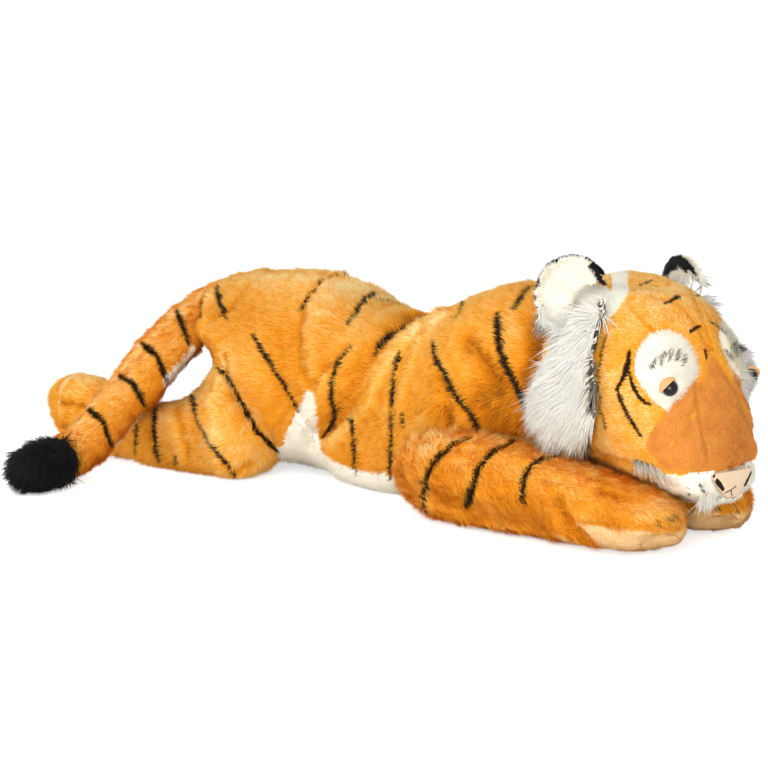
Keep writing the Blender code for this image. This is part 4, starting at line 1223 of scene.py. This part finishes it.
# The distance between two roots, closer on the head, the ears and the tail
plain_spacing = 0.00086
spacings = {"head_skin": 0.00060, "tail_skin": 0.00080, "tail_tip_skin": 0.00090,
            "ear_skin_right": 0.00060, "ear_skin_left": 0.00060}
forms = [torso, head, tail, tail_end]
forms += [pair[word] for pair in (hindlegs, forelegs, ears, ruffs) for word in side_of]
for index, form in enumerate(forms):
    others = [other for other in forms if other is not form]
    form.spread_roots(others, spacings.get(form.name, plain_spacing), 100 + index)
trim_patches(head)

for form in (torso, tail):
    form.cover(("orange", "white"))
for word in side_of:
    hindlegs[word].cover(("orange", "beige"))
    forelegs[word].cover(("orange", "beige"))
    ears[word].cover(("white", "black"))
    ruffs[word].cover(("white",))
tail_end.cover(("black",))
head.cover(("orange", "brown") + ("white",) * 6)

# Pile

# Each coat: a hair's length and radius in metres, how far it leans from the cloth in radians, the share of
# the roots that it grows on, the width of its tufts, and how far a tuft draws its hairs together
body_coat = dict(length=0.0070, radius=0.00030, lean=1.12, clump=0.0034)
belly_coat = dict(length=0.0060, radius=0.00030, lean=1.15, clump=0.0034)
foreleg_coat = dict(length=0.0085, radius=0.00032, lean=1.10, clump=0.0042, pull=0.7)
sole_coat = dict(length=0.0034, radius=0.00028, lean=1.0, clump=0.0022)
flank_tufts_coat = dict(length=0.0150, radius=0.00036, lean=0.9, keep_share=0.6, clump=0.0065, pull=0.9)
elbow_tufts_coat = dict(length=0.0100, radius=0.00034, lean=1.1, keep_share=0.35, clump=0.0065, pull=0.9)
ear_front_coat = dict(length=0.0058, radius=0.00028, lean=1.0, clump=0.0022, pull=0.4)
ear_back_coat = dict(length=0.0030, radius=0.00028, lean=1.0)
ear_foot_coat = dict(length=0.0160, radius=0.00034, lean=0.9, keep_share=0.4, long_hair=True, droop=0.3,
                     clump=0.0040, pull=0.4)
ear_tuft_coat = dict(length=0.0150, radius=0.00030, lean=0.8, keep_share=0.3, long_hair=True, droop=0.1,
                     clump=0.0040)
ruff_coat = dict(length=0.0210, radius=0.00038, lean=1.0, keep_share=0.75, long_hair=True, droop=0.25,
                 clump=0.0048, pull=0.35)
tail_tip_coat = dict(length=0.0130, radius=0.00036, lean=0.95, keep_share=0.6, long_hair=True, droop=0.2,
                     clump=0.0040)
head_coat = dict(length=0.0038, radius=0.00026, lean=1.10, ruffle=0.2, clump=0.0022, grain=0.06)
bridge_coat = dict(length=0.0032, radius=0.00024, lean=1.05, ruffle=0.2, clump=0.0024, pull=0.8, grain=0.12)
lip_coat = dict(length=0.0045, radius=0.00026, lean=1.1, clump=0.0022)
chin_coat = dict(length=0.0050, radius=0.00028, lean=1.0, keep_share=0.7)
chin_tuft_coat = dict(length=0.0160, radius=0.00034, lean=1.0, keep_share=0.35, long_hair=True, clump=0.0030)
cheek_tuft_coat = dict(length=0.0140, radius=0.00028, lean=1.0, keep_share=0.35, long_hair=True, clump=0.0030,
                       grain=0.22)
left_patch_coat = dict(length=0.0140, radius=0.00030, lean=1.0, keep_share=0.5, long_hair=True, clump=0.0030)
eye_patch_coat = dict(radius=0.00026, lean=0.95, clump=0.0024)
eye_patch_lengths = {"right": 0.0052, "left": 0.0080}

# Where the pile is parted into pieces along the toy, and the crown from the cheeks by height
rump_end, back_end, barrel_end = -0.290, -0.170, -0.050
knee = -0.300
elbow_end = 0.034
crown_foot = 0.140
ear_foot_height = 0.022


def along(rear, front):
    """A test for the points between two places along the toy."""
    def where(points):
        return (points[:, 0] >= rear) & (points[:, 0] < front)
    return where


def near_pixels(form, reach, pixels):
    """A test for the points of a form near the places where some pixels show it."""
    line = seen_places(tree_of(form.skin), pixels)

    def near(points):
        return distance_to_line(points, line) < reach
    return near


def left_ear_tuft(points):
    """The part of the left ear's front that its long hair grows on."""
    return points[:, 2] < points[:, 2].mean() + 0.006


torso_parts = (
    ("pile_rump", along(-math.inf, rump_end), ("torso_cover", "torso_stuffing")),
    ("pile_back", along(rump_end, back_end), ()),
    ("pile_barrel", along(back_end, barrel_end), ()),
    ("pile_shoulders", along(barrel_end, math.inf), ()),
)
for index, (name, where, nodes) in enumerate(torso_parts):
    pile(torso, name, "orange", 0, where, backwards, 0.65, 200 + index, nodes, **body_coat)
pile(torso, "elbow_tufts", "orange", 0, near_pixels(torso, *flank_tufts_place),
     flow_along((-0.6, -0.2, -0.8)), 0.68, 209, **flank_tufts_coat)
pile(torso, "pile_belly", "white", 1, everywhere, backwards, 0.73, 210, ("belly_panel",), **belly_coat)

for index, (word, side) in enumerate(side_of.items()):
    leg = hindlegs[word]
    pile(leg, "pile_thigh_" + word, "orange", 0, along(knee, math.inf), backwards, 0.69, 220 + index,
         ("hindleg_cover_" + word, "hindleg_stuffing_" + word), **body_coat)
    pile(leg, "pile_shank_" + word, "orange", 0, along(-math.inf, knee), backwards, 0.66, 230 + index,
         **body_coat)
    pile(leg, "velour_hind_sole_" + word, "beige", 1, everywhere, backwards, 0.55, 240 + index,
         ("hindleg_sole_" + word,), **sole_coat)
    arm = forelegs[word]
    pile(arm, "pile_foreleg_" + word, "orange", 0, everywhere, to_the_paw, 0.64, 250 + index,
         ("foreleg_cover_" + word, "foreleg_stuffing_" + word), **foreleg_coat)
    pile(arm, "velour_fore_sole_" + word, "beige", 1, everywhere, to_the_paw, 0.55, 260 + index,
         ("foreleg_sole_" + word,), **sole_coat)
    pile(arm, "elbow_tufts_" + word, "orange", 0, along(-math.inf, elbow_end), to_the_elbow, 0.72,
         266 + index, **elbow_tufts_coat)

    ear = ears[word]
    outwards = away_from(ear.roots.mean(0) - np.array([0.0, 0.0, 0.010]))
    foot = ear.roots[:, 2].min() + ear_foot_height
    pile(ear, "pile_ear_front_" + word, "white", 0, everywhere, outwards, 0.84, 270 + index,
         ("ear_front_" + word,), **ear_front_coat)
    pile(ear, "long_hair_ear_foot_" + word, "white", 0, lambda points: points[:, 2] < foot,
         flow_along((-0.35, side * 0.3, -1.0)), 0.88, 276 + index, **ear_foot_coat)
    pile(ear, "pile_ear_back_" + word, "black", 1, everywhere, outwards, 0.45, 280 + index,
         ("ear_back_" + word,), **ear_back_coat)
    if word == "left":
        pile(ear, "long_hair_ear_left", "white", 0, left_ear_tuft, flow_along((0.6, 0.6, -0.5)), 0.86, 286,
             **ear_tuft_coat)
    pile(ruffs[word], "pile_ruff_" + word, "white", 0, everywhere, flow_along((-0.75, side * 0.15, -0.75)),
         0.90, 290 + index, ("cheek_ruff_" + word,), **ruff_coat)

pile(tail, "pile_tail", "orange", 0, everywhere, down_the_tail, 0.67, 300,
     ("tail_cover", "tail_stuffing"), **body_coat)
pile(tail, "pile_tail_underside", "white", 1, everywhere, down_the_tail, 0.84, 301,
     ("tail_underside",), **body_coat)
pile(tail_end, "pile_tail_tip", "black", 0, everywhere, down_the_tail, 0.45, 302,
     ("tail_tip",), **tail_tip_coat)

pile(head, "pile_crown", "orange", 0, lambda points: points[:, 2] >= crown_foot, over_the_head, 0.73, 310,
     ("head_cover", "head_stuffing"), **head_coat)
pile(head, "pile_cheeks", "orange", 0, lambda points: points[:, 2] < crown_foot, over_the_head, 0.82, 311,
     **head_coat)
pile(head, "pile_bridge", "brown", 1, everywhere, up_the_bridge, 0.62, 312, ("muzzle_bridge",), **bridge_coat)
pile(head, "pile_lips", "white", (2, 3), everywhere, down_the_face, 0.82, 313, ("lip_right", "lip_left"),
     **lip_coat)
pile(head, "pile_chin", "white", 4, everywhere, down_the_face, 0.80, 314, ("chin_panel",), **chin_coat)
pile(head, "chin_tuft", "white", (2, 3, 4), near_pixels(head, *chin_tuft_place),
     flow_along((0.2, -0.2, -1.0)), 0.84, 318, **chin_tuft_coat)
pile(head, "cheek_tuft", "white", (0, 1, 2), near_pixels(head, *cheek_tuft_place),
     flow_along((0.7, 0.3, -0.6)), 0.52, 320, **cheek_tuft_coat)
# This pile is drawn paler than the other white pile: painted light where it lies in shade
pile(head, "long_hair_patch_left", "white", (0, 1, 6), near_pixels(head, *left_patch_place),
     flow_along((0.5, 1.0, 0.0)), 0.96, 321, **left_patch_coat)
for index, (word, side) in enumerate(side_of.items()):
    pile(head, "pile_eye_patch_" + word, "white", 5 + index, everywhere,
         away_from((0.205, side * 0.042, 0.130)), 0.74, 315 + index, ("eye_patch_" + word,),
         length=eye_patch_lengths[word], **eye_patch_coat)

# Eyes, nose and lids

white_sheen = (1.0, 1.0, 1.0)
eye_material, eye_shader = new_material("eye_plastic", 0.06, 0.0, white_sheen)
eye_shader.inputs["Base Color"].default_value = (0.008, 0.006, 0.006, 1.0)
eye_shader.inputs["Specular IOR Level"].default_value = 0.4
washer_material, washer_shader = new_material("washer_plastic", 0.35, 0.0, white_sheen)
washer_shader.inputs["Base Color"].default_value = (0.75, 0.75, 0.72, 1.0)
lid_material, lid_shader = new_material("peach_velour", 0.8, 0.1, (1.0, 0.9, 0.8))
lid_shader.inputs["Base Color"].default_value = (0.88, 0.42, 0.18, 1.0)
nose_material = backing_material("nose_velour", nose_ramp, 0.75, 0.08, (1.0, 0.9, 0.85), 0.10)


def smoothed_piece(name, node, voxel, rounds, material):
    """A finer, rounder piece in the place of one of the head's nodes."""
    piece = stuffed_form(name, (node,), voxel, rounds, 0.0)
    piece.data.materials.append(material)
    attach(piece, "head")
    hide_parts(node)
    return piece


def give_material(node, material):
    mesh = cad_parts[node].data
    mesh.materials.clear()
    mesh.materials.append(material)
    return mesh


nose = smoothed_piece("nose", "nose_pad", 0.0006, 5, nose_material)
nose_lines = lines_seen(nose, nose_marks, True) + lines_seen(nose, mouth_marks, False)
keep_shades(nose.data, 0.9 * (1.0 - stripe_mask(points_of(nose.data), nose_lines)))
for word in side_of:
    smoothed_piece("lid_" + word, "eyelid_" + word, 0.0004, 3, lid_material)
    give_material("eye_" + word, eye_material).shade_smooth()
    give_material("eye_washer_" + word, washer_material)

# Studio

floor_size = 12.0
floor_glow = 0.64
room_light = 0.62
room_light_seen = 0.38

make_camera()


def area_light(name, place, aim, size, watts):
    data = bpy.data.lights.new(name, "AREA")
    data.shape = "DISK"
    data.size = size
    data.energy = watts
    lamp = bpy.data.objects.new(name, data)
    bpy.context.scene.collection.objects.link(lamp)
    lamp.location = place
    lamp.rotation_mode = "QUATERNION"
    lamp.rotation_quaternion = (Vector(aim) - Vector(place)).to_track_quat("-Z", "Y")


def seen_strength(nodes, links, gain, base, target):
    """Makes a light's strength a base, with a gain where the camera looks straight at it."""
    seen = nodes.new("ShaderNodeLightPath")
    level = nodes.new("ShaderNodeMath")
    level.operation = "MULTIPLY_ADD"
    level.inputs[1].default_value = gain
    level.inputs[2].default_value = base
    links.new(seen.outputs["Is Camera Ray"], level.inputs[0])
    links.new(level.outputs[0], target)


area_light("top_light", (0.3, -0.8, 1.9), (0.0, -0.1, 0.1), size=1.6, watts=3.0)
area_light("front_light", (1.5, -1.5, 0.7), (0.0, -0.1, 0.1), size=1.4, watts=30.0)
area_light("left_light", (-0.9, -1.9, 0.55), (-0.1, -0.1, 0.1), size=1.4, watts=14.0)

bpy.ops.mesh.primitive_plane_add(size=floor_size)
floor = bpy.context.object
floor.name = "floor"
floor_material = bpy.data.materials.new("floor_white")
floor_material.use_nodes = True
nodes, links = floor_material.node_tree.nodes, floor_material.node_tree.links
nodes.clear()
matte = nodes.new("ShaderNodeBsdfDiffuse")
matte.inputs["Color"].default_value = (0.9, 0.9, 0.9, 1.0)
glow = nodes.new("ShaderNodeEmission")
both = nodes.new("ShaderNodeAddShader")
surface = nodes.new("ShaderNodeOutputMaterial")
seen_strength(nodes, links, floor_glow, 0.0, glow.inputs["Strength"])
links.new(matte.outputs[0], both.inputs[0])
links.new(glow.outputs[0], both.inputs[1])
links.new(both.outputs[0], surface.inputs["Surface"])
floor.data.materials.append(floor_material)

world = bpy.data.worlds.new("studio")
bpy.context.scene.world = world
world.use_nodes = True
nodes, links = world.node_tree.nodes, world.node_tree.links
background = nodes["Background"]
background.inputs["Color"].default_value = (1.0, 1.0, 1.0, 1.0)
seen_strength(nodes, links, room_light_seen, room_light, background.inputs["Strength"])

bpy.context.scene.view_settings.view_transform = "Standard"
